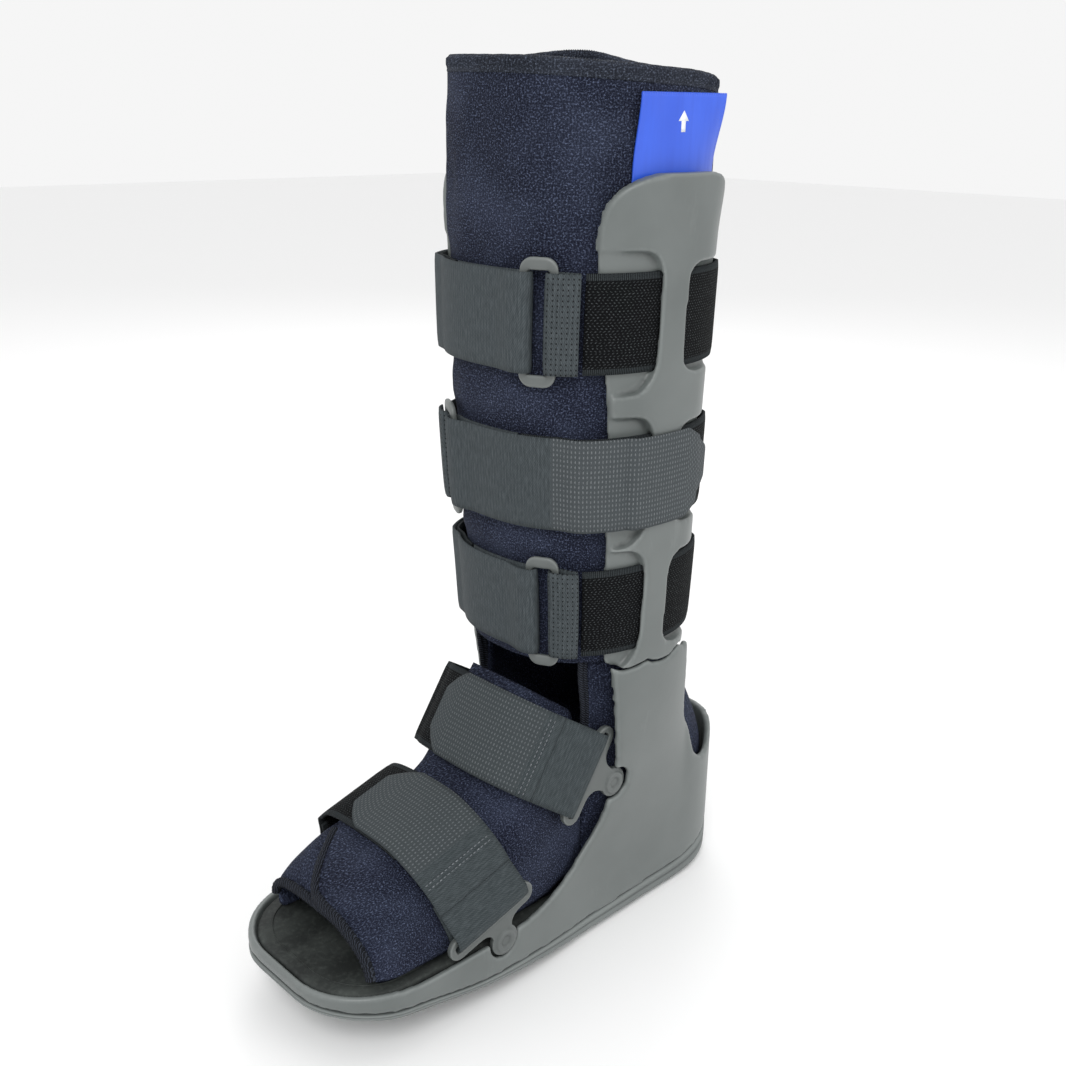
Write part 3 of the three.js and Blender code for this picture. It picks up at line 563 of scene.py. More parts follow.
def disc(middle, radius, count=48):
    return [(middle[0] + radius * cos(2 * pi * i / count), middle[1] + radius * sin(2 * pi * i / count))
            for i in range(count)]


def shell_block(name, inset, bottom, lid):
    def place(u, v, w):
        y = station(v, inset)
        z = mix(bottom(y), lid, w)
        return (2 * u - 1) * shell_half(y, z, inset), y, z

    return mould(name, 4, 120, 24, place)


shell = shell_block("boot_shell", 0, lambda y: seam_height(y) + GAP, ANKLE_TOP + TOE_RIM)
hollow = shell_block("shell_hollow", SHELL_WALL, floor_height, ANKLE_TOP + TOE_RIM + GAP)
join(shell, hollow, "DIFFERENCE")
join(shell, side_bar("side_view", shell_outline()), "INTERSECT")
for knob in (INSTEP_KNOB, TOE_KNOB):
    join(shell, side_bar("notch", disc(knob, KNOB + KNOB_ROOM)), "DIFFERENCE")
soften(shell, 1.25, 12)
SHELL_NYLON = grown_material("shell_nylon", MOULDED, {
    "Color": (0.1, 0.113, 0.11, 1), "Rubbed": (0.225, 0.245, 0.24, 1), "Cloud": 0.2, "Gloss": 0.34,
}, 0.22, 0.1)
dress(shell, SHELL_NYLON, "moulded_shell", "base_shell")

# The insole: a bed of black foam inside the shell, with a rounded edge and a fine pressed
# line that follows its outline. It lies bare in front of the open toe.
INSOLE_TOE = 37.6
INSOLE_INSET = SHELL_WALL + 2 * GAP
INSOLE = table("at top", (-1, 1), (-0.6, 0.92), (-0.2, 0.84), (1, 0.8))


def insole_height(y):
    return INSOLE_TOE * smooth(INSOLE, "at", "top", share(y))


def insole_point(u, v, w):
    round_off = 1.6 * (1 - (1 - max(0, w - 0.6) / 0.4) ** 0.5 if w > 0.6 else 0)
    inset = INSOLE_INSET + round_off
    y = station(v, inset)
    z = mix(floor_height(y) + GAP, insole_height(y), min(1, w * 1.02))
    return (2 * u - 1) * half_width(y, inset), y, z


def foam_effect():
    """Closed-cell foam: a fine pebble, faint smears and dust."""
    group, color, dust = new_effect("foam_pebble", ("Color", "Dust"))
    pebble = noise(group, 1400, 3)
    smear = noise(group, 45, 5, stretch=(1, 0.5, 1), roughness=0.7)
    speck = noise(group, 420, 4)
    amount = smear.ramp(0.42, 0.75) * 0.75 + speck.ramp(0.5, 0.75) * 0.35
    return finish_effect(group, blend(group, amount, color, dust), smear.ramp(-1.6, 1.4),
                         speck * 0.6 + pebble)


FOAM = grown_material("insole_foam", foam_effect(), {
    "Color": (0.018, 0.021, 0.02, 1), "Dust": (0.07, 0.08, 0.074, 1)}, 0.35, 0.2, 0.3)
insole = mould("insole_bed", 12, 140, 8, insole_point)
dress(insole, FOAM, "insole_foam", "insole")


def skin(name, points, count, ring=False):
    """Closed loops of so many points each, joined in a row with its ends shut, or in a ring."""
    loops = len(points) // count
    faces = []
    for i in range(loops if ring else loops - 1):
        here, there = i * count, (i + 1) % loops * count
        for k in range(count):
            after = (k + 1) % count
            faces.append([here + k, here + after, there + after, there + k])
    if not ring:
        faces += [list(range(count)), list(range(len(points) - count, len(points)))]
    return piece_from(name, points, faces)


def tube(name, path, radius, sides=10, ribs=0):
    """A closed round cord along a path, with raised ribs every so many millimetres if asked."""
    points = []
    path = [Vector(p) for p in path]
    run = 0
    side = Vector((1, 0.1, 0))
    for i, p in enumerate(path):
        ahead = (path[min(i + 1, len(path) - 1)] - path[max(i - 1, 0)]).normalized()
        run += (p - path[i - 1]).length if i else 0
        side = (side - ahead * side.dot(ahead)).normalized()
        rise = side.cross(ahead).normalized()
        swell = radius * (1 + (0.09 * sin(2 * pi * run / ribs) if ribs else 0))
        end = min(i, len(path) - 1 - i)
        swell *= 1 if end > 2 else (0.45, 0.8, 0.95)[end]
        for k in range(sides):
            turn = 2 * pi * k / sides
            points.append(p + side * swell * cos(turn) + rise * swell * sin(turn))
    return skin(name, points, sides)


WELT_INSET = INSOLE_INSET + 7
WELT = 0.35


def insole_welt():
    path = []
    for side, order in ((-1, range(60, -1, -1)), (1, range(61))):
        for i in order:
            y = mix(WELT_INSET - TOE_REACH, -0.72 * TOE_REACH, (i / 60) ** 1.6)
            path.append((side * half_width(y, WELT_INSET), y, insole_height(y) + 0.1))
    return tube("insole_welt", path, WELT, 6)


dress(insole_welt(), FOAM, "insole_foam")

# The uprights: two moulded side plates that stand on the shell and follow the leg. Each has a
# flared paddle at its top and a raised column down its middle. Six windows beside the column
# let the straps pass under it.
UPRIGHT_TOP = 393
UPRIGHT_HALF = 40
PADDLE_FLARE = 2
COLUMN_HALF = 8.5
COLUMN_LEAN = 0.02
COLUMN_WALL = 2.4
SEAM_GAP = 0.8
STRAP_WIDTH = 45
STRAP_LOW = (306, 231, 165)
# Upright sections up its height: reach to the front and to the rear, as shares of the half width
UPRIGHT = table(
    "up front rear",
    (0.39, 0.56, 0.83),
    (0.53, 0.66, 0.81),
    (0.72, 0.78, 0.82),
    (0.86, 0.93, 0.9),
    (0.94, 1, 0.95),
    (0.975, 0.9, 0.92),
    (0.993, 0.68, 0.72),
    (1, 0.4, 0.42),
)


def leg_sheet(name, turn, low, high, inner, outer_at, grid):
    """A curved sheet on the leg between two distances out, on the +X side."""
    def place(u, v, w):
        z = mix(low, high, w)
        flare = PADDLE_FLARE * step(z, 0.92 * UPRIGHT_TOP, UPRIGHT_TOP)
        degrees = mix(-turn, turn, v)
        return leg_point(radians(degrees), z, mix(inner, outer_at(degrees), u) + flare)

    return mould(name, 1, grid[0], grid[1], place)


def upright_outline():
    ups = [0.44, 0.53, 0.62, 0.72, 0.8, 0.86, 0.92, 0.955, 0.975, 0.988, 0.996, 1]
    front = [(-UPRIGHT_HALF * smooth(UPRIGHT, "up", "front", up), up * UPRIGHT_TOP) for up in ups]
    rear = [(UPRIGHT_HALF * smooth(UPRIGHT, "up", "rear", up), up * UPRIGHT_TOP) for up in ups]
    return ankle_wave(SEAM_GAP)[::-1] + bend_through(front, 4) + bend_through(rear, 4)[::-1]


def curve_to(start, pull, end, count=8):
    """Points of a quadratic curve after its start."""
    return [tuple((1 - t) ** 2 * a + 2 * t * (1 - t) * b + t * t * c for a, b, c in zip(start, pull, end))
            for t in (i / count for i in range(1, count + 1))]


def bay_outline(low, side):
    """Side view of the window beside the column, where a strap passes under it."""
    high = low + STRAP_WIDTH
    edge = side * 1.3 * UPRIGHT_HALF
    column = side * COLUMN_HALF - COLUMN_LEAN * (low - ANKLE_TOP)
    turn = side * 0.9 * COLUMN_HALF
    tall = 0.9 * COLUMN_HALF
    above, below = (1.3, 1.6) if side < 0 else (0.4, 0.5)
    start = (column + 1.2 * turn, high + 0.9 * above * tall)
    upper = curve_to(start, (column, high + 0.7 * above * tall), (column, high - tall))
    lower = curve_to((column, low + tall), (column, low - 0.4 * below * tall),
                     (column + 1.4 * turn, low - 0.8 * below * tall))
    return [(edge, high + above * tall), start] + upper + [(column, low + tall)] + lower + [
        (edge, low - below * tall)]


def raised_at(degrees):
    return mix(RAISED_OUT, PLATE_OUT + COLUMN_WALL / 2, step(abs(degrees), 12, 34))


def upright():
    reach = (0.9 * ANKLE_TOP, UPRIGHT_TOP + TOE_RIM)
    plate = leg_sheet("upright_plate", 56, *reach, PLATE_IN, lambda a: PLATE_OUT, (48, 48))
    raised = leg_sheet("upright_column", 56, *reach, PLATE_OUT - GAP, raised_at, (48, 48))
    for low in STRAP_LOW:
        for side in (1, -1):
            join(raised, side_bar("window", bay_outline(low, side)), "DIFFERENCE")
        passage = (low - 2 * GAP, low + STRAP_WIDTH + 2 * GAP)
        tunnel = leg_sheet("passage", 58, *passage, PLATE_OUT - 2 * GAP, lambda a: SLOT_OUT, (48, 6))
        join(raised, tunnel, "DIFFERENCE")
    for layer in (plate, raised):
        join(layer, side_bar("side_view", upright_outline()), "INTERSECT")
    return soften(join(plate, raised, "UNION"), 1.1, 8)


def dress_both(piece, far_name, material, slot, near_node=(), far_node=()):
    """Dresses a near piece, and its mirror image on the other side of the boot."""
    twin = bpy.data.objects.new(far_name, piece.data.copy())
    twin.data.transform(Matrix.Scale(-1, 4, (1, 0, 0)))
    twin.data.flip_normals()
    bpy.context.scene.collection.objects.link(twin)
    dress(piece, material, slot, *near_node)
    dress(twin, material, slot, *far_node)


near_upright = upright()
near_upright.name = "near_upright"
dress_both(near_upright, "far_upright", SHELL_NYLON, "moulded_shell", ["upright_left"], ["upright_right"])

# The pull sleeves: slips of blue film between the liner and the uprights, pulled out once
# the boot is on. Their top edge is cut in tiny teeth, and they carry a white arrow.
SLEEVE = 0.9
SLEEVE_WIDTH = 56
SLEEVE_MIDDLE = 3
SLEEVE_TOP = BOOT_HEIGHT - 14
SLEEVE_LENGTH = 78
SLEEVE_TEETH = 1.6


def sleeve_point(across, z, out):
    y = SLEEVE_MIDDLE + across
    deep = leg_size(z)[1]
    fall = (1 - (abs(y) / deep) ** LEG_ROUND) ** (1 / LEG_ROUND)
    flat = step(z, UPRIGHT_TOP, SLEEVE_TOP)
    return leg_point(0, z, out)[0] * mix(fall, 1, flat), y, z


def sleeve():
    def place(u, v, w):
        across = mix(-0.5, 0.5, v) * SLEEVE_WIDTH
        tooth = 0.5 * abs((v * SLEEVE_WIDTH / SLEEVE_TEETH) % 1 - 0.5)
        z = mix(SLEEVE_TOP - SLEEVE_LENGTH, SLEEVE_TOP - tooth, w)
        wave = 0.12 * sin(across * 0.31 + 0.05 * z) * step(z, UPRIGHT_TOP, SLEEVE_TOP)
        return sleeve_point(across, z, GAP + u * SLEEVE + wave)

    return mould("near_sleeve", 1, 140, 40, place)


def arrow():
    """A plain arrow that points up, as a very thin inlay on the sleeve's face."""
    shape = [(-1.4, 0), (1.4, 0), (1.4, 4.6), (3.4, 4.6), (0, 9), (-3.4, 4.6), (-1.4, 4.6)]
    points = []
    for lift in (-0.1, 0.06):
        for across, up in shape:
            points.append(sleeve_point(-1 + across, SLEEVE_TOP - 16.5 + up, GAP + SLEEVE + lift + 0.08))
    count = len(shape)
    faces = [[0, 1, 2, 6], [3, 4, 5], [2, 3, 5, 6], [7, 8, 9, 13], [10, 11, 12], [9, 10, 12, 13]]
    faces += [[i, (i + 1) % count, (i + 1) % count + count, i + count] for i in range(count)]
    return piece_from("near_arrow", points, faces)


def film_effect():
    """Blue film: faint streaks down it, and slightly darker where it was folded."""
    group, color, deep = new_effect("film_streaks", ("Color", "Deep"))
    streak = noise(group, 300, 4, stretch=(1, 1, 0.06))
    patch = noise(group, 40, 2, stretch=(1, 1, 0.4))
    amount = streak.ramp(0.4, 0.75) * 0.25 + patch.ramp(0.45, 0.7) * 0.35
    return finish_effect(group, blend(group, amount, color, deep), streak * 0.3 + 0.2, streak)


FILM = film_effect()
FILM_BLUE = grown_material("sleeve_film", FILM, {
    "Color": (0.03, 0.105, 0.66, 1), "Deep": (0.012, 0.055, 0.46, 1)}, 0.15, 0.1)
FILM_WHITE = grown_material("arrow_film", FILM, {
    "Color": (0.85, 0.87, 0.9, 1), "Deep": (0.7, 0.73, 0.8, 1)}, 0.1, 0.05)
dress_both(sleeve(), "far_sleeve", FILM_BLUE, "pull_sleeve", ["pull_sleeve_left"], ["pull_sleeve_right"])
dress_both(arrow(), "far_arrow", FILM_WHITE, "pull_sleeve")

# The leg liner: a padded tube of navy loop-faced knit on foam, hung inside the uprights.
# The straps press it in, and it swells a little between them.
LEG_WALL = 8
BINDING = 1.6
BINDING_HEIGHT = 6.5
LINER_LOW = ANKLE_TOP + 2 * SEAM_GAP
# Rim of the leg liner round the leg: rise as a share of the height
RIM = table("turn rise", (-180, 0.004), (-90, 0), (0, -0.01), (50, -0.017), (100, 0), (135, 0.014),
            (180, 0.004))


def rim_height(degrees):
    return BOOT_HEIGHT * (1 + smooth(RIM, "turn", "rise", (degrees + 180) % 360 - 180))


def puff(degrees, z):
    """How far the padding stands out between straps, on the front and back of the leg."""
    free = 1
    for low in STRAP_LOW:
        free *= step(abs(z - low - STRAP_WIDTH / 2), STRAP_WIDTH / 2 - 1, STRAP_WIDTH / 2 + 13)
    free *= 1 - step(z, BOOT_HEIGHT - 30, BOOT_HEIGHT - BINDING_HEIGHT)
    free *= step(z, LINER_LOW, LINER_LOW + 8)
    aside = abs((degrees + 90) % 180 - 90)
    crease = noise_at(Vector((degrees / 14, z / 26, 0))) + 0.5 * noise_at(Vector((degrees / 6, z / 9, 4)))
    return (2.2 + 0.9 * crease) * free * step(aside, 46, 62)


def leg_ring(name, profile, steps, place):
    """A closed ring round the leg: profile rows are placed at every one of its steps."""
    points = [place(360 * i / steps, row) for i in range(steps) for row in profile]
    return skin(name, points, len(profile), ring=True)


def mapped(piece, along, across):
    """Gives a piece a UV map in millimetres from two rules of its points."""
    layer = piece.data.uv_layers.new(name="cloth")
    for loop in piece.data.loops:
        p = piece.data.vertices[loop.vertex_index].co / MM
        layer.data[loop.index].uv = (along(p), across(p))


def around(p):
    return LEG_HALF_WIDTH * atan2(p.y, p.x)


def leg_liner():
    top = BINDING_HEIGHT + GAP
    ups = [i / 110 for i in range(111)]
    core = (BINDING + GAP, top - BINDING - GAP)
    profile = [(0, up, 0) for up in ups] + [(-core[0], 1, 0), (-core[0], 1, core[1])]
    profile += [(core[0] - LEG_WALL, 1, core[1]), (core[0] - LEG_WALL, 1, 0)]
    profile += [(-LEG_WALL, up, 0) for up in reversed(ups)]

    def place(degrees, row):
        out, up, lift = row
        z = mix(LINER_LOW, rim_height(degrees) - top, up) + lift
        swell = puff(degrees, z) if out == 0 else 0
        return leg_point(radians(degrees), z, out + swell)

    return leg_ring("leg_padding", profile, 180, place)


def cloth_map(group):
    """The piece's own map in millimetres, and the places along and across it."""
    place = group.nodes.new("ShaderNodeTexCoord").outputs["UV"]
    split = group.nodes.new("ShaderNodeSeparateXYZ")
    group.links.new(place, split.inputs[0])
    return place, Field(group, split.outputs["X"]), Field(group, split.outputs["Y"])


def knit_effect():
    """Loop-faced knit: fine wales down the cloth with pale flecks of loose fibre."""
    group, color, pale, spacing = new_effect("loop_knit", ("Color", "Fleck"), {"Wale": 1.1})
    place, across, down = cloth_map(group)
    sway = noise(group, 0.25, 3, place)
    fluff = noise(group, 1.9, 4, place, roughness=0.65)
    speck = noise(group, 1.15, 3, place, roughness=0.6)
    worn = noise(group, 0.03, 4, place)
    wale = ((sway * 2.4 + across) * (2 * pi)).maths("DIVIDE", spacing).maths("SINE")
    loft = wale * 0.16 + (sway * 3.0 + down).wave(0.9) * 0.12
    fleck = speck.ramp(0.5, 0.66) * fluff.ramp(0.36, 0.6) + loft.ramp(-0.1, 0.5) * 0.14
    fleck += worn.ramp(0.45, 0.75) * 0.14
    return finish_effect(group, blend(group, fleck, color, pale), fluff.ramp(-4, 1.4),
                         fluff * 1.1 + loft)


KNIT = knit_effect()
LINER_CLOTH = grown_material("liner_cloth", KNIT, {
    "Color": (0.0045, 0.006, 0.016, 1), "Fleck": (0.115, 0.142, 0.228, 1), "Wale": 1.3}, 0.9, 0.7, 0.15)
leg_padding = leg_liner()
mapped(leg_padding, around, lambda p: p.z)
dress(leg_padding, LINER_CLOTH, "liner_cloth", "leg_liner")

# The rim's edging: dark ribbed elastic folded over the top of the liner and stitched through
# close to its lower edge.
RIB = 1.45


def leg_binding():
    steps = 720
    turn = 0.7 * BINDING
    profile = [(0.1, -BINDING_HEIGHT - 0.5), (0.3, -BINDING_HEIGHT), (0.1, -BINDING_HEIGHT + 0.9),
               (0.35, -0.6 * BINDING_HEIGHT), (0.35, -0.35 * BINDING_HEIGHT), (0.2, -turn),
               (-0.4, -0.45), (-turn, 0.1), (-LEG_WALL / 2, 0.3),
               (turn - LEG_WALL, 0.1), (-LEG_WALL + 0.3, -0.5), (-LEG_WALL, -turn),
               (-LEG_WALL, -BINDING_HEIGHT), (BINDING - LEG_WALL, -BINDING_HEIGHT),
               (BINDING - LEG_WALL, -BINDING), (-BINDING, -BINDING), (-BINDING, -BINDING_HEIGHT)]

    def place(degrees, row):
        out, drop = row
        rib = 0.32 * sin(2 * pi * around(Vector((cos(radians(degrees)), sin(radians(degrees)), 0))) / RIB)
        out += rib if out > -0.2 and drop > 1.2 - BINDING_HEIGHT else 0
        drop += rib if drop > -0.3 else 0
        return leg_point(radians(degrees), rim_height(degrees) + drop, out)

    return leg_ring("rim_edging", profile, steps, place)


EDGING_CLOTH = grown_material("edging_cloth", KNIT, {
    "Color": (0.008, 0.01, 0.016, 1), "Fleck": (0.11, 0.13, 0.18, 1), "Wale": RIB}, 0.8, 0.5, 0.2)
rim_edging = leg_binding()
mapped(rim_edging, around, lambda p: p.z)
dress(rim_edging, EDGING_CLOTH, "edging", "leg_binding")

# The foot liner: a thin padded liner of the same knit round the foot and heel, open at the
# toe and at the front of the ankle. It stands on the insole inside the shell.
FOOT_TOP = 142
FOOT_WALL = 4
FLAP = 2.4
FLAP_SEAT = 1.7
EDGING = 3.6
NEAR_ROUND, FAR_ROUND = 2.1, 3.6
TOE_EDGE = -0.857
TONGUE_TOP = 91
SIDE_ROOM = SHELL_WALL + GAP + FLAP_SEAT + FLAP
INSTEP_LEAN = Vector((0, 0.545, 0.839))
TOE_LEAN = Vector((0, 0.96, 0.28))
# Top of the foot liner above its insole, toe to instep, and its half width
INSTEP = table(
    "at top wide",
    (-0.857, 0.22, 0.96),
    (-0.79, 0.32, 0.96),
    (-0.71, 0.41, 0.95),
    (-0.6, 0.46, 0.95),
    (-0.48, 0.52, 0.95),
    (-0.4, 0.62, 0.95),
    (-0.33, 0.81, 0.96),
    (-0.26, 1, 0.95),
    (-0.15, 1.3, 0.93),
)


def foot_point(turn, y, out):
    """Point over the foot by turn (0 at the +X side, 1 at the far one), place and distance."""
    angle = pi * turn
    wide = half_width(y, SIDE_ROOM) * smooth(INSTEP, "at", "wide", share(y)) + out
    base = insole_height(y) + GAP + FOOT_WALL

    def rise(place):
        return (FOOT_TOP - INSOLE_TOE) * smooth(INSTEP, "at", "top", share(place))

    high = rise(y) - FOOT_WALL + out * hypot(1, (rise(y + 1) - rise(y - 1)) / 2)
    bend = 2 / mix(NEAR_ROUND, FAR_ROUND, step(turn, 0.3, 0.7))
    c = cos(angle)
    x = (1 if c >= 0 else -1) * wide * abs(c) ** bend
    return Vector((x, y, base + high * abs(sin(angle)) ** bend))


def lean_point(turn, along, lean, out):
    """Point over the foot on the slanting plane at a distance along a strap's lean."""
    front, back = -0.98 * TOE_REACH, -0.02 * TOE_REACH
    for _ in range(22):
        middle = (front + back) / 2
        if foot_point(turn, middle, out).dot(lean) < along:
            front = middle
        else:
            back = middle
    return foot_point(turn, (front + back) / 2, out)


def foot_dome(name, start, end, out, drop):
    def place(u, v, w):
        p = foot_point(1 - u, mix(start, end, v), out)
        return (p.x, p.y, insole_height(p.y) + GAP + drop) if w < 0.5 else tuple(p)

    return mould(name, 72, 96, 1, place)


def heel_cup(name, inset, front, low, high):
    behind = leg_point(pi / 2, ANKLE_TOP, 0)[1] - inset + SHELL_WALL + GAP

    def place(u, v, w):
        full = mix(front, HEEL_REACH - inset, sin(pi / 2 * v))
        z = mix(insole_height(full) + GAP + low, high, w)
        lean = mix(1, behind / (HEEL_REACH - inset), step(z, 0.4 * ANKLE_TOP, ANKLE_TOP))
        tuck = FLAP * (1 - step(full, ANKLE_FRONT, ANKLE_FRONT / 2))
        side = shell_half(full, z, inset, SHELL_WALL - inset) - tuck
        return (2 * u - 1) * side, full if full < 0 else full * lean, z

    return mould(name, 4, 64, 32, place)


def foot_liner():
    start, end = TOE_EDGE * TOE_REACH, -0.05 * TOE_REACH
    y, z = INSTEP_LEAN.y, INSTEP_LEAN.z
    tongue = [(-TOE_REACH, 0), (-TOE_REACH, BOOT_HEIGHT / 2),
              ((-1.5 * z + y) * TONGUE_TOP, (1.5 * y + z) * TONGUE_TOP),
              (y * TONGUE_TOP, z * TONGUE_TOP), (end, 0)]
    inset = SHELL_WALL + 4 * GAP
    top = LINER_LOW - 2 * GAP
    outer = foot_dome("foot_padding", start, end, 0, 0)
    join(outer, side_bar("tongue", tongue), "INTERSECT")
    join(outer, heel_cup("heel", inset, ANKLE_FRONT - FLAP, 0, top), "UNION")
    inner = foot_dome("foot_room", start - FLAP, end, -FOOT_WALL, FOOT_WALL)
    join(inner, heel_cup("heel_room", inset + FOOT_WALL, ANKLE_FRONT - FLAP - GAP, FOOT_WALL,
                         top + FLAP), "UNION")
    join(outer, inner, "DIFFERENCE")
    bed = insole_height(TOE_EDGE * TOE_REACH) + GAP + FOOT_WALL + 0.5
    front = [(-TOE_REACH, 0), (-TOE_REACH, bed), (0.72 * -TOE_REACH, bed - 1.5), (0.72 * -TOE_REACH, 0)]
    join(outer, side_bar("open_toe", front, FOOT_HALF_WIDTH - SIDE_ROOM - 9), "DIFFERENCE")
    return soften(outer, 1.8, 6)


foot_padding = foot_liner()
mapped(foot_padding, lambda p: p.y, lambda p: p.z + p.x)
dress(foot_padding, LINER_CLOTH, "liner_cloth", "foot_liner")

# The near flap: the liner's outer layer over the near side, tucked into the shell below and
# laid over the top of the foot. It puffs up between the straps.
FLAP_TURN = 0.62
STRAP_LEANS = ((INSTEP_LEAN, 43), (TOE_LEAN, -106))


def flap_front(turn):
    corner = step(turn, 0.72 * FLAP_TURN, FLAP_TURN)
    return mix(TOE_EDGE - 0.01, TOE_EDGE + 0.15, corner ** 2) * TOE_REACH


def flap_back(turn):
    back = lean_point(turn, TONGUE_TOP - FLAP, INSTEP_LEAN, 0).y
    return min(back, ANKLE_FRONT - 2 * FLAP)


def near_flap():
    def place(u, v, w):
        turn = mix(0.01, FLAP_TURN, w)
        y = mix(flap_front(turn), flap_back(turn), v)
        p = foot_point(turn, y, mix(FLAP_SEAT, FLAP_SEAT + FLAP, u))
        free = 1
        for lean, low in STRAP_LEANS:
            free *= step(abs(p.dot(lean) - low - STRAP_WIDTH / 2), STRAP_WIDTH / 2 + 1, STRAP_WIDTH / 2 + 12)
        edge = min(1, 6 * v, 6 * (1 - v)) * step(w, 0.12, 0.3) * step(1 - w, 0, 0.12)
        swell = 1.8 * free * edge * u
        round_off = 0.8 * (1 - min(1, 14 * min(v, 1 - v), 12 * (1 - w))) * (2 * u - 1)
        p = foot_point(turn, y, mix(FLAP_SEAT, FLAP_SEAT + FLAP, u) + swell - round_off)
        return tuple(p)

    return mould("near_flap", 1, 110, 80, place)


flap_padding = near_flap()
mapped(flap_padding, lambda p: p.y, lambda p: p.z - p.x)
dress(flap_padding, LINER_CLOTH, "liner_cloth", "foot_flap")

# The edgings of the flap and of the far side of the liner: thick rolls of black elastic,
# whip-stitched over the edges at the open toe.
WHIP = 2.3
EDGING_OUT = 2.6


def edge_roll(name, start, stop, out, edge_at, radius):
    count = 220
    path = []
    for i in range(count + 1):
        turn = mix(start, stop, i / count)
        path.append(foot_point(turn, edge_at(turn) - 0.4 * EDGING, out))
    return tube(name, path, radius, 14, WHIP)


def roll_effect():
    """Whip-stitched elastic: slanting dark grooves between lighter threads."""
    group, color, pale = new_effect("whip_stitch", ("Color", "Thread"))
    place, along, across = cloth_map(group)
    thread = (across * 0.45 + along).wave(1.3)
    fluff = noise(group, 2.6, 4, place, roughness=0.65)
    amount = thread.ramp(-0.2, 1) * fluff.ramp(0.35, 0.7)
    return finish_effect(group, blend(group, amount, color, pale), fluff.ramp(-4, 1.4),
                         fluff * 0.7 + thread)


ROLL_CLOTH = grown_material("edging_roll", roll_effect(), {
    "Color": (0.005, 0.006, 0.009, 1), "Thread": (0.07, 0.083, 0.115, 1)}, 0.8, 0.35, 0.2)
near_roll = edge_roll("near_roll", 0.02, 0.97 * FLAP_TURN, EDGING_OUT, flap_front, 2.5)
far_roll = edge_roll("far_roll", 0.05, 0.96, -1.4, lambda turn: TOE_EDGE * TOE_REACH, 2.3)
for roll in (near_roll, far_roll):
    mapped(roll, lambda p: 1.2 * p.x, lambda p: p.z + p.y)
dress(near_roll, ROLL_CLOTH, "edging", "flap_binding")
dress(far_roll, ROLL_CLOTH, "edging", "liner_binding")

# The leg straps' bands: black loop-faced pile with a narrow woven selvage, laid round the
# back of the leg under both columns. The other parts of each strap close on them.
WEB = 1.6
RING_BAR = 3.6
RING_DEEP = 2.8
RING_WIDTH = 18
RING_HEIGHT = 58
DEGREES_PER_MM = 180 / (pi * LEG_HALF_WIDTH)
RING_REACH = (RING_WIDTH / 2 - RING_BAR / 2) * DEGREES_PER_MM
RING_TURN = hypot(RING_BAR, RING_DEEP) / 2 + GAP + WEB / 2
# Leg straps: the ring's turn, the side that the web leaves it on, and lengths in degrees
LEG_STRAPS = table(
    "name low ring side tab tip",
    ("calf", STRAP_LOW[0], -62, 1, 12, 148),
    ("shin", STRAP_LOW[1], -119, -1, 12, 141),
    ("ankle", STRAP_LOW[2], -61, 1, 12, 148),
)


def aside(degrees):
    return abs((degrees + 90) % 180 - 90)


def seat(degrees):
    """Distance out of a leg strap's inner face: over the plates at the sides."""
    return GAP + PLATE_OUT * (1 - step(aside(degrees), 40, 54))


def evenly(start, stop, count):
    return [mix(start, stop, i / (count - 1)) for i in range(count)]


def read_route(route, t):
    place = t * (len(route) - 1)
    i = min(len(route) - 2, int(place))
    return [mix(a, b, place - i) for a, b in zip(route[i], route[i + 1])]


# A strap's thickness from its edge inwards, as a share of the full thickness
EDGE_THIN = (0.55, 0.92)


def woven(name, route, thickness, point_at):
    """A strap along a route, with rounded edges and a map of its cloth in millimetres."""
    across, steps = 14, len(route) - 1
    rows, flat, run = [], [], 0
    for i in range(steps + 1):
        row = [Vector(point_at(i / steps, j / across)) for j in range(across + 1)]
        run += (row[0] - rows[-1][0]).length if rows else 0
        rows.append(row)
        flat.append(run)
    points, uvs = [], []
    for side in (-1, 1):
        for i, row in enumerate(rows):
            ahead_row, back_row = rows[min(i + 1, steps)], rows[max(i - 1, 0)]
            edge = (row[-1] - row[0]).normalized()
            wide = (row[-1] - row[0]).length
            for j, p in enumerate(row):
                normal = (ahead_row[j] - back_row[j]).cross(edge).normalized()
                from_edge = min(j, across - j)
                thin = EDGE_THIN[from_edge] if from_edge < 2 else 1
                points.append(p + normal * side * thickness / 2 * thin)
                uvs.append((flat[i], wide * j / across))
    count = (steps + 1) * (across + 1)

    def at(i, j, layer):
        return layer * count + i * (across + 1) + j

    faces = []
    for i in range(steps):
        for j in range(across):
            for layer in (0, 1):
                faces.append([at(i, j, layer), at(i + 1, j, layer), at(i + 1, j + 1, layer),
                              at(i, j + 1, layer)])
        for j in (0, across):
            faces.append([at(i, j, 0), at(i + 1, j, 0), at(i + 1, j, 1), at(i, j, 1)])
    for i in (0, steps):
        for j in range(across):
            faces.append([at(i, j, 0), at(i, j + 1, 0), at(i, j + 1, 1), at(i, j, 1)])
    piece = piece_from(name, points, faces)
    layer = piece.data.uv_layers.new(name="cloth")
    for loop in piece.data.loops:
        layer.data[loop.index].uv = uvs[loop.vertex_index]
    return piece


def leg_woven(name, route, low, thickness, width_at=lambda t: 1):
    def place(t, w):
        degrees, out = read_route(route, t)
        up = STRAP_WIDTH * (0.5 + (w - 0.5) * width_at(t))
        return leg_point(radians(degrees), low + up, out)

    return woven(name, route, thickness, place)


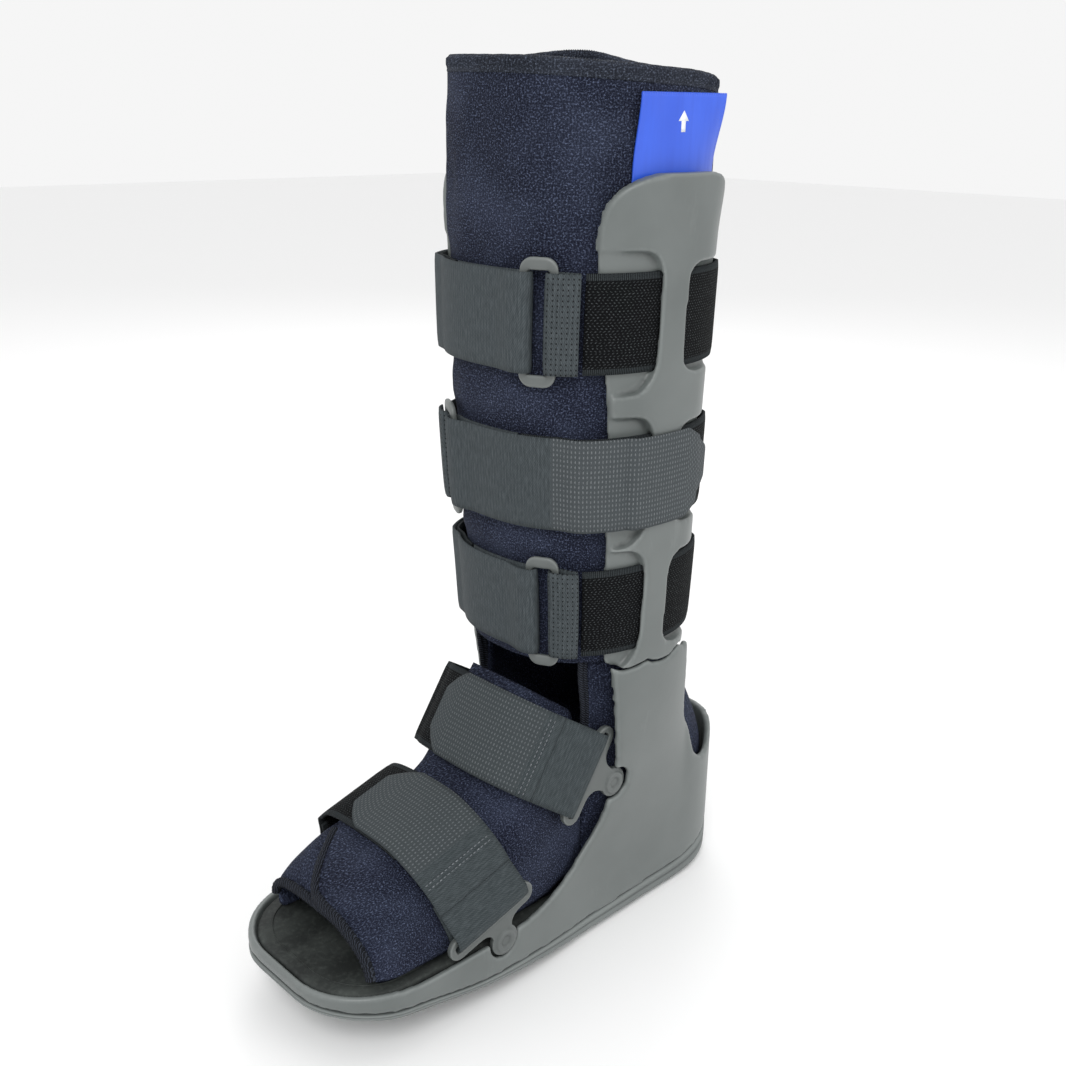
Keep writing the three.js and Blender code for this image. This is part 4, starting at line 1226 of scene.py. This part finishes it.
def pile_effect():
    """Loop pile: black, with zigzag rows of pale loops and a grey woven selvage."""
    group, color, loop, selvage, width = new_effect(
        "loop_pile", ("Color", "Loop", "Edge"), {"Width": 45.0})
    place, along, across = cloth_map(group)
    stray = noise(group, 0.9, 3, place)
    fluff = noise(group, 2.4, 4, place, roughness=0.7)
    zigzag = (stray * 1.1 + along + across.maths("PINGPONG", 2.6)).wave(2.0)
    dot = (across * (2 * pi / 1.25) + stray * 5).maths("SINE")
    loops = zigzag.ramp(0.1, 0.95) * dot.ramp(-0.3, 0.9)
    pile_color = blend(group, loops * fluff.ramp(0.4, 0.62), color, loop)
    edge_color = blend(group, along.wave(0.9).ramp(-1, 1), color, selvage)
    edge = across.maths("MINIMUM", width - across).ramp(3.1, 2.7)
    return finish_effect(group, blend(group, edge, pile_color, edge_color), fluff.ramp(-5, 1.3),
                         loops * 0.8 + fluff - edge * 0.8)


PILE_CLOTH = grown_material("pile_cloth", pile_effect(), {
    "Color": (0.003, 0.0035, 0.004, 1), "Loop": (0.12, 0.135, 0.14, 1), "Edge": (0.045, 0.053, 0.057, 1),
    "Width": 45.0}, 0.9, 0.5, 0.1)


def leg_band(strap):
    near = strap["ring"] + strap["side"] * RING_REACH
    far = strap["ring"] - strap["side"] * RING_REACH
    start = near + strap["side"] * (strap["tab"] + 2 * GAP + WEB) * DEGREES_PER_MM
    stop = far - strap["side"] * 38 + strap["side"] * 360 - strap["side"] * 2
    route = [(turn, seat(turn) + PILE / 2) for turn in evenly(start, stop, 190)]
    return leg_woven(strap["name"] + "_pile_band", route, strap["low"], PILE)


for strap in LEG_STRAPS:
    dress(leg_band(strap), PILE_CLOTH, "loop_pile", strap["name"] + "_strap_band")

# The leg straps' webs and tabs: slate grey woven webbing. The tab loops round one bar of the
# ring and is welded in a grid of small dots. The web turns round the other bar and closes on
# the pile with its hook-faced end.
TIP_LIFT = WEB + GAP + (PILE - WEB) * 1.5 + GAP


def half_turn(radius, count=18):
    return [(radius * cos(radians(a)), radius * sin(radians(a))) for a in evenly(-90, 90, count)]


def leg_webbing(name, low, start, bar, tip, lift, width_at=lambda t: 1):
    way = (1 if bar > start else -1) * DEGREES_PER_MM

    def inner(turn):
        return seat(turn) + WEB / 2

    def outer(turn):
        closing = mix(2 * RING_TURN, lift, step(abs(turn - bar), 2, 16))
        over = mix(RAISED_OUT + GAP + WEB / 2, 0, step(aside(turn), 15, 30))
        return max(inner(turn) + closing, over)

    middle = inner(bar) + RING_TURN
    route = [(turn, inner(turn)) for turn in evenly(start, bar, 8 + round(abs(bar - start)))[:-1]]
    route += [(bar + along * way, middle + out) for along, out in half_turn(RING_TURN)]
    route += [(turn, outer(turn)) for turn in evenly(bar, tip, 8 + round(abs(tip - bar)))[1:]]
    return leg_woven(name, route, low, WEB, width_at)


def webbing_effect():
    """Woven webbing: fine twill and streaks, a welded dot grid, and a hook-faced end."""
    group, color, thread, hook, hook_from, dots = new_effect(
        "webbing_weave", ("Color", "Thread", "Hook"), {"Hook From": 1000.0, "Dots": 0.0})
    place, along, across = cloth_map(group)
    streak = noise(group, 1.6, 4, place, stretch=(1, 0.12, 1), roughness=0.6)
    fluff = noise(group, 2.2, 3, place)
    weave = (across * 0.55 + along).wave(0.95) * 0.35 + along.wave(1.9) * 0.2
    amount = weave.ramp(-0.1, 0.5) * 0.35 + streak.ramp(0.42, 0.72) * 0.6
    hooks = along.wave(1.75).ramp(0.2, 0.8) * (fluff * 3.0 + across).wave(2.4).ramp(-0.2, 0.5)
    hook_color = blend(group, hooks * 0.6 + 0.12, color, hook)
    hooked = (along - hook_from).ramp(0, 0.8)
    faced = blend(group, hooked, blend(group, amount, color, thread), hook_color)
    holes = along.wave(2.2).ramp(0.45, 0.85) * across.wave(2.35).ramp(0.35, 0.8) * dots
    height = weave + streak * 1.1 + fluff + hooks * hooked - holes * 2.5
    return finish_effect(group, blend(group, holes, faced, (0.004, 0.005, 0.006, 1)),
                         streak.ramp(-3, 1.6), height)


WEBBING = webbing_effect()
WEB_COLORS = {"Color": (0.03, 0.038, 0.042, 1), "Thread": (0.085, 0.1, 0.108, 1),
              "Hook": (0.2, 0.215, 0.225, 1)}
WEB_CLOTH = grown_material("web_cloth", WEBBING, WEB_COLORS, 0.6, 0.22, 0.25)
HOOKED_CLOTH = grown_material("hooked_cloth", WEBBING, {**WEB_COLORS, "Hook From": 116.0}, 0.7, 0.3, 0.25)
TAB_CLOTH = grown_material("tab_cloth", WEBBING, {**WEB_COLORS, "Dots": 1.0}, 0.6, 0.3, 0.25)


def cut_corners(t):
    """Width of a web near its tip, whose corners are cut off at a slant."""
    return 1 - 0.62 * max(0, (t - 0.895) / 0.105)


for strap in LEG_STRAPS:
    side, name = strap["side"], strap["name"]
    near = strap["ring"] + side * RING_REACH
    far = strap["ring"] - side * RING_REACH
    tab_end = near + side * strap["tab"] * DEGREES_PER_MM
    tab = leg_webbing(name + "_tab", strap["low"], tab_end, near, tab_end, WEB + GAP)
    web = leg_webbing(name + "_web", strap["low"], far - side * 38, far, far - side * strap["tip"],
                      TIP_LIFT, cut_corners)
    dress(tab, TAB_CLOTH, "webbing", name + "_strap_tab")
    dress(web, HOOKED_CLOTH if name == "shin" else WEB_CLOTH, "webbing", name + "_strap_web")

# The rings: flat moulded loops with round ends that stand out above and below their strap.
# Each hangs in its tab and takes the web.
def rounded_frame(wide, tall, corner, count=8):
    points = []
    for right, up, start in ((1, 1, 0), (-1, 1, 90), (-1, -1, 180), (1, -1, 270)):
        x, y = right * (wide / 2 - corner), up * (tall / 2 - corner)
        points += [(x + corner * cos(radians(a)), y + corner * sin(radians(a)))
                   for a in evenly(start, start + 90, count)]
    return points


def ring(strap):
    outer = rounded_frame(RING_WIDTH, RING_HEIGHT, RING_WIDTH / 3)
    inner = rounded_frame(RING_WIDTH - 2 * RING_BAR, STRAP_WIDTH + 4 * GAP, RING_BAR / 2)
    middle = strap["low"] + STRAP_WIDTH / 2
    out = seat(strap["ring"]) + WEB / 2 + RING_TURN
    points = []
    section = 14
    for (a, b), (c, d) in zip(outer, inner):
        for k in range(section):
            turn = 2 * pi * k / section
            side, rise = cos(turn), sin(turn)
            t = 0.5 + 0.5 * (1 if side > 0 else -1) * abs(side) ** 0.55
            deep = (1 if rise > 0 else -1) * abs(rise) ** 0.6 * RING_DEEP / 2
            across, up = mix(a, c, t), mix(b, d, t)
            degrees = strap["ring"] + across * DEGREES_PER_MM
            points.append(leg_point(radians(degrees), middle + up, out + deep))
    return skin(strap["name"] + "_ring", points, section, ring=True)


FITTING_NYLON = grown_material("fitting_nylon", MOULDED, {
    "Color": (0.078, 0.088, 0.086, 1), "Rubbed": (0.2, 0.215, 0.21, 1), "Cloud": 0.15, "Gloss": 0.36,
}, 0.15, 0.08)
for strap in LEG_STRAPS:
    dress(ring(strap), FITTING_NYLON, "moulded_fittings", strap["name"] + "_strap_ring")

# The foot straps: a black pile layer from the far clip and a grey hook layer from the near
# one, which closes over it. Each layer turns round the bar of its clip and is sewn to itself.
# Foot straps: lean, lowest place along it, height and place aside of the clip's bar, knob, tip
FOOT_STRAPS = table(
    "name lean low bar aside knob tip seams",
    ("instep", INSTEP_LEAN, 43, 83, 46.6, INSTEP_KNOB, 0.66, (0.235, 0.25)),
    ("toe", TOE_LEAN, -106, 78.5, 52.1, TOE_KNOB, 0.64, (0.225, 0.24)),
)
CLIP = 3.2
CLIP_BAR = 3.8
CLIP_SLOT = 4.4
CLIP_TURN = CLIP / 2 + GAP + WEB
FOOT_OUT = FLAP_SEAT + FLAP + 1.5 * GAP


def over_foot(strap, turn, out):
    """Outermost [x, height] of the foot's form under a strap, at a turn and distance out."""
    lean = strap["lean"]
    spots = [lean_point(turn, along, lean, out)
             for along in evenly(strap["low"], strap["low"] + STRAP_WIDTH, 4)]
    wide = max(abs(p.x) for p in spots)
    return (wide if turn < 0.5 else -wide), max(p.z * lean.y - p.y * lean.z for p in spots)


def foot_woven(name, strap, side, lift, thickness, end_turn, width_at):
    def at(turn):
        return turn if side > 0 else 1 - turn

    def clear(turn):
        return over_foot(strap, at(turn), FOOT_OUT)[1] > strap["bar"] + 2 * CLIP_BAR

    start = next(turn for turn in evenly(0.05, 0.45, 41) if clear(turn))

    def doubled(turn):
        return (thickness + GAP) * (1 - step(turn, start + 0.09, start + 0.16))

    def arch(first, last, count, out_at):
        return [over_foot(strap, at(turn), FOOT_OUT + out_at(turn) + thickness / 2)
                for turn in evenly(first, last, count)]

    def beside(down, out):
        return side * (strap["aside"] + out), down

    inner = arch(start + 0.08, start, 8, lambda turn: 0) + [beside(strap["bar"] + CLIP_BAR, -CLIP_TURN)]
    bend = [beside(strap["bar"] - down, out) for down, out in half_turn(CLIP_TURN)]
    outer = [beside(strap["bar"] + CLIP_BAR, CLIP_TURN)]
    outer += arch(start + 0.04, end_turn, 44, lambda turn: max(lift, doubled(turn)))
    route = bend_through(inner, 3) + bend + bend_through(outer, 3)

    def place(t, w):
        x, height = read_route(route, t)
        along = strap["low"] + STRAP_WIDTH * (0.5 + (w - 0.5) * width_at(t))
        lean = strap["lean"]
        return x, lean.y * along - lean.z * height, lean.z * along + lean.y * height

    return woven(name, route, thickness, place)


def blunt_tip(t):
    into = max(0, t - 0.885) / 0.115
    return 1 - 0.5 * into ** 1.25


FOOT_CLOTH = grown_material("foot_web_cloth", WEBBING, {
    "Color": (0.025, 0.033, 0.036, 1), "Thread": (0.075, 0.09, 0.097, 1), "Hook": (0.15, 0.165, 0.175, 1),
    "Hook From": 72.0}, 0.7, 0.28, 0.25)
for strap in FOOT_STRAPS:
    name = strap["name"]
    hook = foot_woven(name + "_hook_layer", strap, 1, PILE + GAP, WEB,
                      strap["tip"] - 0.045, blunt_tip)
    pile = foot_woven(name + "_pile_layer", strap, -1, 0, PILE, 0.62, lambda t: 1)
    dress(hook, FOOT_CLOTH, "webbing", name + "_strap_hook")
    dress(pile, PILE_CLOTH, "loop_pile", name + "_strap_pile")

# The clips: moulded nylon loops that hold the foot straps. A round knob below each loop snaps
# into its notch in the shell's edge, and a raised ring marks the knob.
def arc(middle, radius, start, stop, count=20):
    return [(middle[0] + radius * cos(a), middle[1] + radius * sin(a)) for a in evenly(start, stop, count)]


def clip(strap):
    lean, low, bar = strap["lean"], strap["low"], strap["bar"]
    knob_y, knob_z = strap["knob"]
    middle = low + STRAP_WIDTH / 2
    knob = (knob_y * lean.y + knob_z * lean.z - middle, knob_z * lean.y - knob_y * lean.z - bar)
    slot = STRAP_WIDTH + 4 * GAP
    half = slot / 2 + CLIP_BAR
    slot_low = -CLIP_SLOT - CLIP / 4
    loop_low = slot_low - CLIP_BAR
    loop_top = CLIP_BAR - CLIP / 4
    end = (loop_top - loop_low) / 2
    body = arc((end - half, loop_top - end), end, pi / 2, 1.5 * pi)
    body += [(knob[0] - 1.9 * KNOB, loop_low)]
    body += curve_to((knob[0] - 1.9 * KNOB, loop_low), (knob[0] - 0.9 * KNOB, loop_low),
                     (knob[0] - 0.8 * KNOB, knob[1] + 0.8 * KNOB))
    body += arc(knob, KNOB, 0.78 * pi, 2.22 * pi, 40)
    body += curve_to(body[-1], (knob[0] + 0.9 * KNOB, loop_low), (knob[0] + 1.9 * KNOB, loop_low))
    body += arc((half - end, loop_top - end), end, -pi / 2, pi / 2)

    def place(a, b, d):
        along, height = middle + a, bar + b
        x = strap["aside"] - CLIP / 2 + d
        return x, lean.y * along - lean.z * height, lean.z * along + lean.y * height

    piece = plate(strap["name"] + "_clip", body, 0, CLIP, place)
    opening = [(-slot / 2, slot_low), (slot / 2, slot_low), (slot / 2, -CLIP / 4), (-slot / 2, -CLIP / 4)]
    join(piece, plate("slot", opening, -1, CLIP + 1, place), "DIFFERENCE")
    join(piece, plate("knob_ring", disc(knob, 0.72 * KNOB), CLIP / 2, CLIP + 1.2, place), "UNION")
    join(piece, plate("knob_dish", disc(knob, 0.42 * KNOB), CLIP + 0.1, CLIP + 2, place), "DIFFERENCE")
    return soften(piece, 0.6, 5)


for strap in FOOT_STRAPS:
    node = strap["name"] + "_clip_"
    dress_both(clip(strap), strap["name"] + "_far_clip", FITTING_NYLON, "moulded_fittings",
               [node + "left"], [node + "right"])

# The ankle's piping and the seams: the edges of the liner beside the open ankle are rolled in
# pairs of black piping, and the foot straps are stitched where they are doubled.
def ankle_piping(name, forward, radius):
    path = []
    for z in evenly(84, LINER_LOW + 2, 50):
        y = ANKLE_FRONT - FLAP - forward + 1.5 * sin(z / 9)
        path.append((shell_half(y, z, SHELL_WALL, -1.5) - 2.2 * FLAP, y, z))
    return tube(name, path, radius, 12, WHIP)


for order, (forward, radius) in enumerate(((0.6, 1.5), (3.6, 1.4))):
    near_piping = ankle_piping(f"near_piping_{order}", forward, radius)
    mapped(near_piping, lambda p: p.z, lambda p: p.x + p.y)
    dress_both(near_piping, f"far_piping_{order}", ROLL_CLOTH, "edging")


def stitch_row(name, path, length=2.0, gap=1.1, radius=0.28):
    """Short stitches along a line, joined in one piece."""
    points, faces = [], []
    path = [Vector(p) for p in path]
    run, mark = 0, 0
    for here, there in zip(path, path[1:]):
        span = (there - here).length
        while mark < run + span:
            middle = here.lerp(there, (mark - run) / span)
            ahead = (there - here).normalized()
            side = ahead.cross(Vector((0, 0, 1))).normalized()
            rise = side.cross(ahead)
            base = len(points)
            for t, swell in ((-0.5, 0.4), (-0.3, 1), (0.3, 1), (0.5, 0.4)):
                for k in range(6):
                    turn = pi * k / 3
                    points.append(middle + ahead * length * t
                                  + (side * cos(turn) + rise * sin(turn)) * radius * swell)
            for row in range(3):
                for k in range(6):
                    a, b = base + row * 6 + k, base + row * 6 + (k + 1) % 6
                    faces.append([a, b, b + 6, a + 6])
            faces += [[base + k for k in range(6)], [base + 18 + k for k in range(6)]]
            mark += length + gap
        run += span
    return piece_from(name, points, faces)


THREAD = grown_material("seam_thread", KNIT, {
    "Color": (0.1, 0.11, 0.12, 1), "Fleck": (0.3, 0.32, 0.34, 1), "Wale": 0.6}, 0.3, 0.1, 0.3)


def strap_seam(strap, turn, out):
    lean = strap["lean"]
    x, height = over_foot(strap, turn, FOOT_OUT + out)
    ends = [strap["low"] + 2.5, strap["low"] + STRAP_WIDTH - 2.5]
    return [(x, lean.y * along - lean.z * height, lean.z * along + lean.y * height) for along in ends]


for strap in FOOT_STRAPS:
    for order, turn in enumerate(strap["seams"]):
        line = strap_seam(strap, turn, PILE + GAP + WEB + 0.1)
        seam = stitch_row(f"{strap['name']}_seam_{order}", line, 1.5, 0.9)
        mapped(seam, lambda p: p.x, lambda p: p.z)
        dress(seam, THREAD, "webbing")
